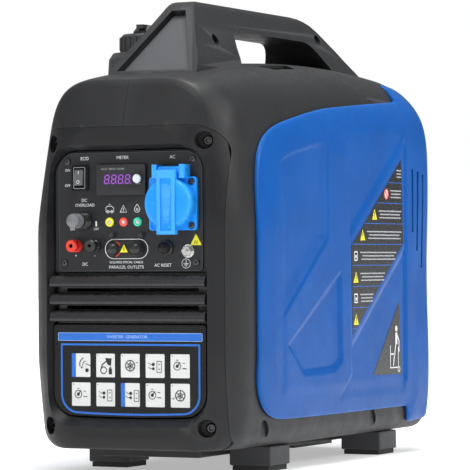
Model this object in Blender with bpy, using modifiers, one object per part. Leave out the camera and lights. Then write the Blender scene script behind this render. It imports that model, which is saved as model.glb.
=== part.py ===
"""Portable inverter generator: shells, covers, controls, engine and recoil starter.

Metres, +Z up, front (control panel) towards -Y, origin at the centre of the footprint on the ground.
Depths are measured backwards from the front face of the front frame.
"""
import math

import bmesh
import bpy
from mathutils import Matrix, Vector

# Housing
LENGTH = 0.485                 # front frame face to rear panel face
FRONT_REACH = 0.010            # the breaker boot stands this far in front of the frame
SHELL_HALF = 0.112             # half width over the black shells
BODY_BOTTOM = 0.0245           # underside of the shells
SHOULDER_Z = 0.300             # the sides turn into the domed top here
DOME_POWER = 3.2               # squareness of the dome
DOME_POWER_FRONT = 5.0
BASE_RADIUS = 0.018            # lower edge rounding
END_RADIUS_SIDE = 0.050        # rounding of the front end, seen from above
REAR_RADIUS_SIDE = 0.024
REAR_RADIUS_TOP = 0.042
END_RADIUS_BASE = 0.012
FASCIA_SLOPE = 3.07            # rise of the leaning front face per unit of depth
FASCIA_STRAIGHT = 0.011        # depth where it starts to turn into the top
FASCIA_TURN = 0.0073
LEAN_REACH = 0.160             # the front corners draw in above and below this far from the front
LEAN_FADE = 1.3
LEAN_HIGH = (0.229, 1.75)      # height where the lean starts and its rate
LEAN_LOW = (0.115, 1.10)
CREST_HIGH = 0.403             # highest point of the dome
CREST_DEPTH = 0.320
WALL = 0.003
GAP = 0.0003                   # clearance between touching pieces
MID = (LENGTH - FRONT_REACH) / 2

# Front frame and its recess
FRAME_HALF = 0.0985
FRAME_TOP = 0.329
FRAME_DEPTH = 0.030
RECESS_HALF = 0.083
RECESS_RADIUS = 0.024
RECESS_BASE = 0.052
RECESS_TOP = 0.3115
PLATE_DEPTH = 0.015            # face of the control plate
FRAME_WELLS = ((-0.081, 0.3145), (0.081, 0.3145), (-0.084, 0.046), (0.084, 0.046))
WELL_RADII = (0.0068, 0.0085)

# Side covers
COVER_FRONT = 0.056
COVER_BASE = 0.050
COVER_STEP = 0.413             # the cover widens into the rear corner behind this depth
COVER_REAR = 0.476
COVER_EDGE = 0.0018
COVER_RISE = 0.0077
COVER_BEVEL = 0.033

# Handle
HANDLE_HALF = 0.050
FACET_LOW = (0.060, 0.381)     # depth and height of the front facet's lower edge
FACET_HIGH = (0.124, 0.4525)

# Fuel filler
FILLER = (-0.070, 0.190)       # x and depth
COLLAR_TOP = 0.411
CAP_TOP = 0.430

# Feet
FOOT_X = 0.077
FOOT_DEPTHS = {"front": 0.135, "rear": 0.400}
PAD_HEIGHT = 0.005

# Engine line: crankshaft along Y
CRANK_Z = 0.155
SHAFT_RADIUS = 0.008
ROPE_DEPTH = 0.1520            # rope plane of the recoil pulley
PULLEY_RADIUS = 0.040

FRONT = (math.radians(90), 0, 0)          # local +Z turned to -Y
REAR = (math.radians(-90), 0, 0)          # local +Z turned to +Y
LEFT = (0, math.radians(-90), 0)          # local +Z turned to -X
RIGHT = (0, math.radians(90), 0)
UP = (0, 0, 0)


def clear_scene():
    for item in list(bpy.data.objects):
        bpy.data.objects.remove(item, do_unlink=True)


def collection(name):
    group = bpy.data.collections.new(name)
    bpy.context.scene.collection.children.link(group)
    return group


clear_scene()
PARTS = collection("inverter_generator")
CUTTERS = collection("cutters")


def material(name, colour, roughness, metallic=0.0):
    mat = bpy.data.materials.new(name)
    mat.use_nodes = True
    shader = mat.node_tree.nodes["Principled BSDF"]
    shader.inputs["Base Color"].default_value = (*colour, 1.0)
    shader.inputs["Roughness"].default_value = roughness
    shader.inputs["Metallic"].default_value = metallic
    mat.diffuse_color = (*colour, 1.0)
    return mat


BLACK = material("black_plastic", (0.035, 0.036, 0.038), 0.55)
GREY = material("grey_plastic", (0.16, 0.165, 0.17), 0.5)
BLUE = material("blue_plastic", (0.005, 0.11, 0.52), 0.4)
SOCKET_BLUE = material("socket_blue", (0.02, 0.32, 0.90), 0.35)
RED = material("red_plastic", (0.65, 0.03, 0.02), 0.35)
YELLOW = material("yellow_lens", (0.85, 0.70, 0.03), 0.3)
GREEN = material("green_lens", (0.05, 0.60, 0.22), 0.3)
CLEAR = material("clear_rubber", (0.72, 0.74, 0.76), 0.25)
WHITE = material("white_plastic", (0.8, 0.8, 0.8), 0.4)
RUBBER = material("rubber", (0.02, 0.02, 0.02), 0.8)
STEEL = material("steel", (0.62, 0.62, 0.60), 0.3, 1.0)
ALUMINIUM = material("aluminium", (0.66, 0.67, 0.68), 0.4, 1.0)
COPPER = material("copper_winding", (0.60, 0.28, 0.12), 0.4, 1.0)
CERAMIC = material("white_ceramic", (0.85, 0.85, 0.82), 0.3)


def place(x, depth, z):
    return Vector((x, depth - MID, z))


def add(name, bm, mat, location, rotation, group=None):
    bmesh.ops.recalc_face_normals(bm, faces=bm.faces)
    mesh = bpy.data.meshes.new(name)
    bm.to_mesh(mesh)
    bm.free()
    item = bpy.data.objects.new(name, mesh)
    item.location = location
    item.rotation_euler = rotation
    mesh.materials.append(mat)
    (group or PARTS).objects.link(item)
    if group is CUTTERS:
        item.hide_render = True
        item.display_type = "WIRE"
    return item


def cut(target, tool, operation="DIFFERENCE"):
    mod = target.modifiers.new(operation.lower(), "BOOLEAN")
    mod.operation = operation
    mod.object = tool
    mod.solver = "EXACT"
    return target


def soften(item, width, segments=2, angle=40):
    mod = item.modifiers.new("bevel", "BEVEL")
    mod.width = width
    mod.segments = segments
    mod.limit_method = "ANGLE"
    mod.angle_limit = math.radians(angle)
    return item


def smooth(item, angle=35):
    item.data.shade_smooth()
    item.data.set_sharp_from_angle(angle=math.radians(angle))
    return item


def box(name, size, centre, mat, bevel=0.0, group=None):
    bm = bmesh.new()
    bmesh.ops.create_cube(bm, size=1.0)
    bmesh.ops.scale(bm, vec=Vector(size), verts=bm.verts)
    item = add(name, bm, mat, place(*centre), UP, group)
    if bevel:
        soften(item, bevel)
    return item


def rod(name, radius, length, centre, facing, mat, sides=20, group=None):
    bm = bmesh.new()
    bmesh.ops.create_cone(bm, cap_ends=True, segments=sides, radius1=radius,
                          radius2=radius, depth=length)
    return smooth(add(name, bm, mat, place(*centre), facing, group))


def turned(name, profile, base, facing, mat, sides=24, group=None):
    """Turn a profile of (radius, height) about the local Z axis, outer side listed top to bottom."""
    mesh = bpy.data.meshes.new(name)
    loop = list(profile)
    edges = [(k, k + 1) for k in range(len(loop) - 1)]
    if loop[0][0] > 0:
        edges.append((len(loop) - 1, 0))
    mesh.from_pydata([(r, 0, h) for r, h in loop], edges, [])
    item = bpy.data.objects.new(name, mesh)
    item.location = place(*base)
    item.rotation_euler = facing
    mesh.materials.append(mat)
    (group or PARTS).objects.link(item)
    mod = item.modifiers.new("turn", "SCREW")
    mod.steps = sides
    mod.render_steps = sides
    mod.use_merge_vertices = True
    mod.merge_threshold = 0.00001
    mod.use_smooth_shade = True
    if group is CUTTERS:
        item.hide_render = True
        item.display_type = "WIRE"
    return item


def rounded(width, height, radius, steps=4, lower_radius=None):
    """Outline of a rounded rectangle centred on the origin."""
    low = radius if lower_radius is None else lower_radius
    points = []
    for sx, sy, start, r in ((1, 1, 0, radius), (-1, 1, 90, radius), (-1, -1, 180, low),
            (1, -1, 270, low)):
        for k in range(steps + 1):
            angle = math.radians(start + 90 * k / steps)
            points.append((sx * (width / 2 - r) + r * math.cos(angle),
                           sy * (height / 2 - r) + r * math.sin(angle)))
    return points


def plate(name, outline, thickness, base, facing, mat, bevel=0.0, group=None):
    """Extrude a flat outline along the local Z axis from its base point."""
    bm = bmesh.new()
    face = bm.faces.new([bm.verts.new((x, y, 0)) for x, y in outline])
    grown = bmesh.ops.extrude_face_region(bm, geom=[face])
    top = [v for v in grown["geom"] if isinstance(v, bmesh.types.BMVert)]
    bmesh.ops.translate(bm, verts=top, vec=(0, 0, thickness))
    item = add(name, bm, mat, place(*base), facing, group)
    if bevel:
        soften(item, bevel)
    return item


def boxes(name, sizes_and_centres):
    """One cutter made of several separate blocks."""
    bm = bmesh.new()
    for size, centre in sizes_and_centres:
        made = bmesh.ops.create_cube(bm, size=1.0)
        bmesh.ops.scale(bm, vec=Vector(size), verts=made["verts"])
        bmesh.ops.translate(bm, vec=place(*centre), verts=made["verts"])
    return add(name, bm, BLACK, (0, 0, 0), UP, CUTTERS)


def loft(name, sections, mat, group=None):
    """Join equal closed sections, given as lists of world points, into one solid."""
    bm = bmesh.new()
    rings = [[bm.verts.new(p) for p in section] for section in sections]
    count = len(rings[0])
    for a, b in zip(rings, rings[1:]):
        for k in range(count):
            bm.faces.new((a[k], a[(k + 1) % count], b[(k + 1) % count], b[k]))
    bm.faces.new(rings[0])
    bm.faces.new(rings[-1])
    bmesh.ops.triangulate(bm, faces=[f for f in bm.faces if len(f.verts) == 4], quad_method="FIXED")
    return add(name, bm, mat, (0, 0, 0), UP, group)


# ---- Body form ----

def end_cut(depth, radius):
    """How far a quarter-round end pulls the section in at this distance from the end."""
    if depth >= radius:
        return 0.0
    reach = radius - max(depth, 0.0)
    return radius - math.sqrt(max(radius ** 2 - reach ** 2, 0.0))


def fascia_drop(depth):
    """How far the leaning front face keeps the section below the crest line."""
    full = FASCIA_SLOPE * (FASCIA_STRAIGHT + FASCIA_TURN / 2)
    turn = min(max(depth - FASCIA_STRAIGHT, 0.0), FASCIA_TURN)
    rise = FASCIA_SLOPE * (min(max(depth, 0.0), FASCIA_STRAIGHT) + turn * (1 - turn / (2 * FASCIA_TURN)))
    return full - rise


def lean(depth, z):
    """Share of the width that is left where the front corners draw in."""
    fade = (1 - min(max(depth, 0.0) / LEAN_REACH, 1.0)) ** LEAN_FADE
    high = max(z - LEAN_HIGH[0], 0.0) * LEAN_HIGH[1]
    low = max(LEAN_LOW[0] - z, 0.0) * LEAN_LOW[1]
    return 1 - (high + low) * fade


def dome_power(depth):
    return DOME_POWER + (DOME_POWER_FRONT - DOME_POWER) * (1 - min(max(depth, 0.0) / LEAN_REACH, 1.0))


def body_frame(depth, inset):
    """Half width, top and bottom of the body section at a depth, drawn in by inset."""
    front = depth - inset
    rear = LENGTH - inset - depth
    crest = CREST_HIGH - 0.022 * ((depth - CREST_DEPTH) / 0.27) ** 2
    narrower = end_cut(front, END_RADIUS_SIDE - inset) + end_cut(rear, REAR_RADIUS_SIDE - inset)
    higher = end_cut(front, END_RADIUS_BASE - inset) + end_cut(rear, END_RADIUS_BASE - inset)
    top = crest - inset - fascia_drop(front) - end_cut(rear, REAR_RADIUS_TOP - inset)
    return SHELL_HALF - inset - narrower, top, BODY_BOTTOM + inset + higher


def half_section(depth, inset, dome_steps=7, corner_steps=3):
    """Right half of the body section, from the crest down to the middle of the underside."""
    half, top, bottom = body_frame(depth, inset)
    power = 2 / dome_power(depth)
    points = []
    for k in range(dome_steps + 1):
        angle = math.radians(90 * k / dome_steps)
        points.append((half * math.sin(angle) ** power if k else 0.0,
                       SHOULDER_Z + (top - SHOULDER_Z) * max(math.cos(angle), 0.0) ** power))
    for z in (0.262, LEAN_HIGH[0], LEAN_LOW[0], 0.075):
        points.append((half, z))
    radius = BASE_RADIUS
    for k in range(corner_steps + 1):
        angle = math.radians(90 * k / corner_steps)
        points.append((half - radius + radius * math.cos(angle),
                bottom + radius - radius * math.sin(angle)))
    points.append((0.0, bottom))
    return [(x * lean(depth, z), z) for x, z in points]


def full_section(depth, inset):
    right = half_section(depth, inset)
    left = [(-x, z) for x, z in reversed(right[1:-1])]
    return [place(x, depth, z) for x, z in right + left]


def stations(inset):
    front = [inset + k for k in (0.0, 0.0022, 0.006, 0.011, 0.0145, 0.0183, 0.030, 0.050)]
    rear = [LENGTH - inset - k for k in (0.042, 0.028, 0.0175, 0.0105, 0.005, 0.0015, 0.0)]
    return front + [0.075, 0.11, 0.16, 0.25, 0.34] + rear


def body_form(name, inset):
    return loft(name, [full_section(d, inset) for d in stations(inset)], BLACK, CUTTERS)


def side_x(depth, z, offset):
    """Distance of the body's side from the centre plane, grown outwards by offset."""
    half, top, bottom = body_frame(depth, -offset)
    low = bottom + BASE_RADIUS - z
    if z > SHOULDER_Z:
        power = dome_power(depth)
        half *= (1 - min((z - SHOULDER_Z) / (top - SHOULDER_Z), 1.0) ** power) ** (1 / power)
    elif low > 0:
        half += math.sqrt(max(BASE_RADIUS ** 2 - low ** 2, 0.0)) - BASE_RADIUS
    return half * lean(depth, z)


OUTER = body_form("body_outer", 0.0)
HOLLOW = body_form("body_hollow", WALL)
CLEARANCE = body_form("body_clearance", -GAP)


# ---- Handle form, later joined to both shells ----

def front_prism(name, outline, start, end, mat=BLACK, group=CUTTERS):
    """Extrude an outline in x and z from one depth to another."""
    return loft(name, [[place(x, d, z) for x, z in outline] for d in (start, end)], mat, group)


def side_prism(name, outline, half_width, group=CUTTERS):
    """Extrude an outline in depth and z across the centre plane."""
    return loft(name, [[place(x, d, z) for d, z in outline] for x in (-half_width, half_width)], BLACK,
            group)


def handle_form():
    profile = [FACET_LOW, FACET_HIGH, (0.134, 0.456), (0.360, 0.456), (0.392, 0.449), (0.425, 0.428),
               (0.462, 0.397), (0.462, 0.370), (0.060, 0.362)]
    item = side_prism("handle_form", profile, HANDLE_HALF)
    right = [(0.0500, 0.360), (0.0475, 0.385), (0.0340, 0.412), (0.0225, 0.434), (0.0150, 0.450),
             (0.0090, 0.4565)]
    across = right + [(-x, z) for x, z in reversed(right)]
    cut(item, front_prism("handle_taper", across, 0.04, 0.48), "INTERSECT")
    window = [(0.157, 0.370), (0.186, 0.426), (0.192, 0.430), (0.352, 0.430), (0.366, 0.4275),
            (0.378, 0.420),
              (0.388, 0.409), (0.396, 0.396), (0.402, 0.370)]
    cut(item, side_prism("handle_window", window, HANDLE_HALF + 0.02))
    cut(item, rod("collar_room", 0.0446, 0.1, (*FILLER, 0.400), UP, BLACK, 28, CUTTERS))
    return soften(item, 0.0035, 2, 28)


def facet_matrix():
    """Local x across, y up the handle's front facet, z out of it."""
    low = place(0, *FACET_LOW)
    up = (place(0, *FACET_HIGH) - low).normalized()
    out = Vector((1, 0, 0)).cross(up)
    rotation = Matrix((Vector((1, 0, 0)), up, out)).transposed()
    return Matrix.Translation(low) @ rotation.to_4x4()


def badge_outline(margin):
    foot, peak = 0.0395 - 1.3 * margin, 0.0075 - 0.4 * margin
    return [(-foot, 0.006 + margin), (foot, 0.006 + margin), (peak, 0.088 - margin),
            (-peak, 0.088 - margin)]


HANDLE = handle_form()
BADGE_RECESS = plate("badge_recess", badge_outline(0.0), 0.03, (0, 0, 0), UP, BLACK, group=CUTTERS)
BADGE_RECESS.matrix_world = facet_matrix() @ Matrix.Translation((0, 0, -0.009))
SCREW_WELLS = {}
for side, sign in (("left", -1), ("right", 1)):
    wells = bmesh.new()
    for depth, z in ((0.137, 0.4176), (0.396, 0.434)):
        made = bmesh.ops.create_cone(wells, cap_ends=True, segments=12, radius1=0.006, radius2=0.006,
                depth=0.06)
        bmesh.ops.rotate(wells, cent=(0, 0, 0), matrix=Matrix.Rotation(math.pi / 2, 3, "Y"),
                verts=made["verts"])
        bmesh.ops.translate(wells, vec=place(sign * 0.040, depth, z), verts=made["verts"])
    SCREW_WELLS[side] = add(f"handle_wells_{side}", wells, BLACK, (0, 0, 0), UP, CUTTERS)


# ---- Shells, frame and rear panel ----

def frame_outline(grow):
    width = 2 * (FRAME_HALF + grow)
    height = FRAME_TOP + grow - 0.018
    return [(x, z + 0.018 + height / 2) for x, z in rounded(width, height, 0.028, 4, 0.008)]


def rear_outline(grow):
    width = 2 * (0.084 + grow)
    height = 0.285 + 2 * grow
    return [(x, z + 0.1925) for x, z in rounded(width, height, 0.02 + grow, 4)]


def hatch_outline(shrink):
    """Plan view, x and depth, of the spark plug hatch."""
    return [(0.054 + shrink, 0.309 + shrink), (0.072 - shrink / 2, 0.309 + shrink),
            (0.101 - shrink, 0.340 + shrink / 2), (0.101 - shrink, 0.402 - shrink),
                    (0.054 + shrink, 0.402 - shrink)]


def top_prism(name, outline, low, high, mat=BLACK, group=CUTTERS):
    return loft(name, [[place(x, d, z) for x, d in outline] for z in (low, high)], mat, group)


FRAME_ZONE = front_prism("frame_zone", frame_outline(GAP), -0.02, FRAME_DEPTH + 0.004)
REAR_ZONE = front_prism("rear_zone", rear_outline(GAP), LENGTH - 0.035, LENGTH + 0.02)
HATCH_ZONE = top_prism("hatch_zone", hatch_outline(0.0), 0.30, 0.43)
FILLER_HOLE = rod("filler_hole", 0.030, 0.2, (*FILLER, 0.44), UP, BLACK, 24, CUTTERS)
STARTER_HOLE = box("starter_hole", (0.06, 0.0806, 0.0706), (-0.115, ROPE_DEPTH, 0.195), BLACK, 0, CUTTERS)


def shell(side, sign):
    """One clamshell half with its half of the handle."""
    item = loft(f"{side}_shell", [full_section(d, 0.0) for d in stations(0.0)], BLACK)
    cut(item, HANDLE, "UNION")
    cut(item, HOLLOW)
    cut(item, box(f"cut_{side}", (0.2, 0.6, 0.6), (GAP / 2 * sign - 0.1 * sign, LENGTH / 2, 0.25), BLACK,
            0, CUTTERS))
    cut(item, FRAME_ZONE)
    cut(item, REAR_ZONE)
    cut(item, BADGE_RECESS)
    cut(item, SCREW_WELLS[side])
    return item


RIGHT_SHELL = shell("right", 1)
cut(RIGHT_SHELL, HATCH_ZONE)
LEFT_SHELL = shell("left", -1)
cut(LEFT_SHELL, FILLER_HOLE)
cut(LEFT_SHELL, STARTER_HOLE)

hatch = top_prism("spark_plug_hatch", hatch_outline(GAP), 0.31, 0.42, BLACK, PARTS)
cut(hatch, OUTER, "INTERSECT")
cut(hatch, HOLLOW)


def front_frame():
    item = front_prism("front_frame", frame_outline(0.0), -0.01, FRAME_DEPTH, BLACK, PARTS)
    cut(item, OUTER, "INTERSECT")
    middle = (RECESS_TOP + RECESS_BASE) / 2
    opening = [(x, z + middle) for x, z in rounded(2 * RECESS_HALF, RECESS_TOP - RECESS_BASE,
            RECESS_RADIUS, 4, 0.006)]
    cut(item, front_prism("frame_recess", opening, -0.05, 0.1))
    wells = bmesh.new()
    for x, z in FRAME_WELLS:
        made = bmesh.ops.create_cone(wells, cap_ends=True, segments=16, radius1=WELL_RADII[0],
                                     radius2=WELL_RADII[1], depth=0.03)
        turn = Matrix.Rotation(math.radians(20) * (1 if x > 0 else -1), 3,
                "Z") @ Matrix.Rotation(math.pi / 2, 3, "X")
        bmesh.ops.rotate(wells, cent=(0, 0, 0), matrix=turn, verts=made["verts"])
        bmesh.ops.translate(wells, vec=place(x, 0.006, z), verts=made["verts"])
    cut(item, add("frame_wells", wells, BLACK, (0, 0, 0), UP, CUTTERS))
    return item


def rear_panel():
    item = front_prism("rear_panel", rear_outline(0.0), LENGTH - 0.035, LENGTH + 0.01, BLACK, PARTS)
    cut(item, OUTER, "INTERSECT")
    cut(item, HOLLOW)
    slots = [((0.11, 0.06, 0.005), (0, LENGTH, 0.105 + 0.014 * k)) for k in range(3)]
    slots += [((0.11, 0.06, 0.005), (0, LENGTH, 0.255 + 0.014 * k)) for k in range(4)]
    cut(item, boxes("rear_slots", slots))
    cut(item, rod("tail_pipe_hole", 0.0155, 0.08, (0.0, LENGTH, 0.200), REAR, BLACK, 20, CUTTERS))
    return item


front_frame()
rear_panel()

BADGE = plate("badge_plate", badge_outline(0.0006), 0.0025, (0, 0, 0), UP, GREY)
BADGE.matrix_world = facet_matrix() @ Matrix.Translation((0, 0, -0.0087))


# ---- Side covers ----

def cover_top(depth):
    line = 0.367 - 0.0322 * (max(0.407 - depth, 0.0) / 0.286) ** 1.8
    if depth > COVER_STEP:
        line = 0.386 - 0.010 * max(depth - 0.44, 0.0) / 0.036
    return line - end_cut(depth - COVER_FRONT, 0.050)


def cover_base(depth):
    line = COVER_BASE if depth < COVER_STEP else 0.033
    return line + end_cut(depth - COVER_FRONT, 0.045)


def cover_rise(depth, z):
    """Thickness of the cover: a broad bevel climbs from its edge to the flat field."""
    edge = min(depth - COVER_FRONT, cover_top(depth) - z, z - cover_base(depth),
            (COVER_REAR - depth) * 1.4)
    share = min(max(edge / COVER_BEVEL, 0.0), 1.0)
    return COVER_EDGE + (COVER_RISE - COVER_EDGE) * math.sin(share * math.pi / 2)


def side_cover(name, sign):
    shares = (0.0, 0.035, 0.1, 0.3, 0.55, 0.77, 0.85, 0.92, 0.97, 1.0)
    depths = (0.0565, 0.060, 0.070, 0.090, 0.125, 0.20, 0.28, 0.36, 0.4125, 0.4135, 0.435, 0.455, 0.468,
            COVER_REAR)
    sections = []
    for depth in depths:
        low, high = cover_base(depth), cover_top(depth)
        heights = [low + (high - low) * s for s in shares]
        outer = [(side_x(depth, z, GAP) + cover_rise(depth, z), z) for z in heights]
        inner = [(side_x(depth, z, 0.0) - WALL, z) for z in reversed(heights)]
        sections.append([place(sign * x, depth, z) for x, z in outer + inner])
    item = loft(name, sections, BLUE)
    cut(item, CLEARANCE)
    slots = []
    for depth, low, high in ((0.424, 0.231, 0.297), (0.437, 0.212, 0.295), (0.450, 0.194, 0.292)):
        slots.append(((0.08, 0.0045, high - low), (sign * 0.12, depth, (high + low) / 2)))
    cut(item, boxes(f"{name}_slots", slots))
    return item


side_cover("right_side_cover", 1)
left_cover = side_cover("left_side_cover", -1)
cut(left_cover, STARTER_HOLE)
DOOR = (0.300, 0.185, 0.130, 0.190)       # depth and height of its centre, length, height
cut(left_cover, box("door_zone", (0.05, DOOR[2] + 2 * GAP, DOOR[3] + 2 * GAP), (-0.125, DOOR[0], DOOR[1]),
                    BLACK, 0, CUTTERS))
KNOB = (ROPE_DEPTH, 0.105)                # depth and height of the engine switch knob
cut(left_cover, rod("knob_dish", 0.0200, 0.05, (-0.125, *KNOB), LEFT, BLACK, 20, CUTTERS))
knob = turned("engine_switch_knob", [(0, 0.0045), (0.0165, 0.0045), (0.0185, 0.0030), (0.0185, 0),
        (0, 0)],
              (-SHELL_HALF - GAP, *KNOB), LEFT, BLACK, 20)
cut(knob, box("knob_ridge", (0.0050, 0.0070, 0.0340), (-0.1170, *KNOB), BLACK, 0, CUTTERS), "UNION")
box("maintenance_door", (0.0072, DOOR[2], DOOR[3]), (-0.1160, DOOR[0], DOOR[1]), BLUE, 0.002)
box("starter_recess", (0.024, 0.080, 0.070), (-0.1035, ROPE_DEPTH, 0.195), BLACK)
cut(bpy.data.objects["starter_recess"],
    box("recess_bay", (0.04, 0.074, 0.064), (-0.1125, ROPE_DEPTH, 0.195), BLACK, 0.004, CUTTERS))
cut(bpy.data.objects["starter_recess"], rod("rope_port", 0.004, 0.04, (-0.09, ROPE_DEPTH, 0.195), LEFT,
        BLACK, 12, CUTTERS))


# ---- Underside ----

def feet():
    for end, depth in FOOT_DEPTHS.items():
        for side, sign in (("left", -1), ("right", 1)):
            top = BODY_BOTTOM - GAP
            height = top - PAD_HEIGHT
            box(f"foot_block_{end}_{side}", (0.044, 0.045, height),
                    (sign * FOOT_X, depth, PAD_HEIGHT + height / 2),
                GREY, 0.0015)
            pad = PAD_HEIGHT - GAP
            box(f"foot_pad_{end}_{side}", (0.039, 0.040, pad), (sign * FOOT_X, depth, pad / 2), RUBBER)


def base_tray():
    item = box("base_tray", (0.105, 0.385, 0.009), (0, 0.2475, 0.0197), BLACK, 0.002)
    cut(item, box("sump_drop", (0.040, 0.095, 0.012), (0, 0.385, 0.0138), BLACK, 0, CUTTERS), "UNION")


feet()
base_tray()


# ---- Control panel ----

def control_plate():
    item = plate("control_plate", rounded(0.1556, 0.115, 0.016), 0.003,
            (0.0, PLATE_DEPTH + 0.003, 0.2495), FRONT, GREY)
    holes = [((0.0130, 0.03, 0.0200), (-0.0527, PLATE_DEPTH, 0.2816)),
            ((0.0450, 0.03, 0.0220), (-0.0080, PLATE_DEPTH, 0.2794))]
    cut(item, boxes("panel_windows", holes))
    rounds = bmesh.new()
    for x, z, r in ((0.0476, 0.2559, 0.0222), (-0.0490, 0.2406, 0.0072), (-0.0213, 0.2394, 0.0026),
            (-0.0063, 0.2393, 0.0026),
                    (0.0086, 0.2392, 0.0026), (-0.0569, 0.2170, 0.0048), (-0.0369, 0.2170, 0.0048),
                    (-0.0160, 0.2138, 0.0045), (0.0085, 0.2138, 0.0045), (0.0387, 0.2144, 0.0062),
                    (0.0618, 0.2114, 0.0028)):
        made = bmesh.ops.create_cone(rounds, cap_ends=True, segments=14, radius1=r, radius2=r, depth=0.03)
        bmesh.ops.rotate(rounds, cent=(0, 0, 0), matrix=Matrix.Rotation(math.pi / 2, 3, "X"),
                verts=made["verts"])
        bmesh.ops.translate(rounds, vec=place(x, PLATE_DEPTH, z), verts=made["verts"])
    cut(item, add("panel_holes", rounds, BLACK, (0, 0, 0), UP, CUTTERS))


def eco_switch():
    item = plate("eco_switch_body", rounded(0.0174, 0.0247, 0.002), 0.0025,
            (-0.0527, PLATE_DEPTH - GAP, 0.2816), FRONT, BLACK, 0.0005)
    cut(item, box("eco_barrel", (0.0120, 0.018, 0.0190), (-0.0527, 0.0215, 0.2816), BLACK, 0, CUTTERS),
            "UNION")
    cut(item, box("eco_window", (0.0104, 0.016, 0.0170), (-0.0527, 0.0150, 0.2816), BLACK, 0, CUTTERS))
    tilt = math.radians(-8)
    rocker = box("eco_rocker", (0.0096, 0.0075, 0.0152), (-0.0527, 0.0136, 0.2816), BLACK, 0.0008)
    rocker.rotation_euler = (tilt, 0, 0)


def meter():
    item = plate("meter_body", rounded(0.0525, 0.0293, 0.002), 0.003,
            (-0.0080, PLATE_DEPTH - GAP, 0.2794), FRONT, BLACK, 0.0006)
    cut(item, box("meter_barrel", (0.0440, 0.022, 0.0210), (-0.0080, 0.0245, 0.2794), BLACK, 0, CUTTERS),
            "UNION")
    cut(item, rod("meter_bore", 0.0029, 0.03, (0.0107, 0.0160, 0.2800), FRONT, BLACK, 16, CUTTERS))
    turned("meter_button", [(0, 0.0122), (0.0034, 0.0122), (0.0042, 0.0115), (0.0042, 0.0098),
            (0.0025, 0.0098),
                            (0.0025, 0), (0, 0)], (0.0107, 0.0200, 0.2800), FRONT, WHITE, 16)


SOCKET = (0.0476, 0.2559)                 # x and z of the outlet's centre
HINGE_Z = SOCKET[1] + 0.0310
HINGE_DEPTH = 0.0060
PARALLEL_X = (-0.0160, 0.0085)            # the two parallel outlets


def outlet():
    x, z = SOCKET
    base = plate("ac_socket_base", rounded(0.0500, 0.0500, 0.003), 0.0037, (x, PLATE_DEPTH - GAP, z),
            FRONT, SOCKET_BLUE, 0.0006)
    cut(base, rod("socket_barrel", 0.0215, 0.038, (x, 0.0335, z), FRONT, BLACK, 24, CUTTERS), "UNION")
    cut(base, rod("socket_cup", 0.0190, 0.022, (x, 0.0195, z), FRONT, BLACK, 24, CUTTERS))
    cut(base, boxes("hinge_ears", [((0.0050, 0.0140, 0.0130),
            (x + s * 0.0143, 0.0077, z + 0.0300)) for s in (-1, 1)]), "UNION")
    pins = boxes("pin_holes", [((0.0045, 0.02, 0.0045), (x + s * 0.0095, 0.035, z)) for s in (-1, 1)])
    cut(base, pins)
    cut(base, rod("ear_bore", 0.0015, 0.06, (x, HINGE_DEPTH, HINGE_Z), RIGHT, BLACK, 12, CUTTERS))

    lid = turned("ac_socket_lid", [(0, 0.0130), (0.0200, 0.0130), (0.0235, 0.0115), (0.0245, 0.0085),
            (0.0245, 0),
                                   (0.0215, 0), (0.0215, 0.0085), (0, 0.0095)], (x, 0.0107, z), FRONT,
                    SOCKET_BLUE, 28)
    cut(lid, boxes("lid_band", [((0.0190, 0.0060, 0.0600), (x, -0.0008, z + 0.0010))]), "UNION")
    cut(lid, rod("lid_knuckle", 0.0040, 0.0220, (x, HINGE_DEPTH, HINGE_Z), RIGHT, BLACK, 16, CUTTERS),
            "UNION")
    cut(lid, boxes("lid_strap", [((0.0190, 0.0070, 0.0100), (x, 0.0022, z + 0.0270))]), "UNION")
    cut(lid, rod("lid_bore", 0.0015, 0.06, (x, HINGE_DEPTH, HINGE_Z), RIGHT, BLACK, 12, CUTTERS))
    rod("ac_hinge_pin", 0.0012, 0.0330, (x, HINGE_DEPTH, HINGE_Z), RIGHT, STEEL, 12)


def breaker(name, x, z, radius, reach, cap_mat):
    """A threaded base in the plate with a push button in front of it."""
    collar = 0.0105 if reach > 0.015 else 0.004
    face = PLATE_DEPTH - GAP
    turned(f"{name}_body", [(radius * 0.52, collar), (radius, collar), (radius, 0), (radius * 0.82, 0),
                                   (radius * 0.82, -0.022), (radius * 0.52, -0.022)], (x, face, z), FRONT,
                    BLACK, 20)
    top = reach
    turned(f"{name}_button", [(0, top), (radius * 0.62, top), (radius * 0.86, top - 0.002),
            (radius * 0.9, collar + 0.0023),
                              (radius * 0.46, collar + 0.0023), (radius * 0.46, -0.018), (0, -0.018)],
           (x, face, z), FRONT, cap_mat, 20)


def lamp(name, x, mat):
    turned(name, [(0, 0.0016), (0.0022, 0.0013), (0.0034, 0.0005), (0.0034, 0), (0.0022, 0),
            (0.0022, -0.010), (0, -0.010)],
           (x, PLATE_DEPTH - GAP, 0.2393), FRONT, mat, 16)


def jack(name, x, mat):
    turned(name, [(0.0022, 0.0125), (0.0052, 0.0125), (0.0058, 0.0118), (0.0058, 0), (0.0044, 0),
            (0.0044, -0.020), (0.0022, -0.020)],
           (x, PLATE_DEPTH - GAP, 0.2170), FRONT, mat, 20)


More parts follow.
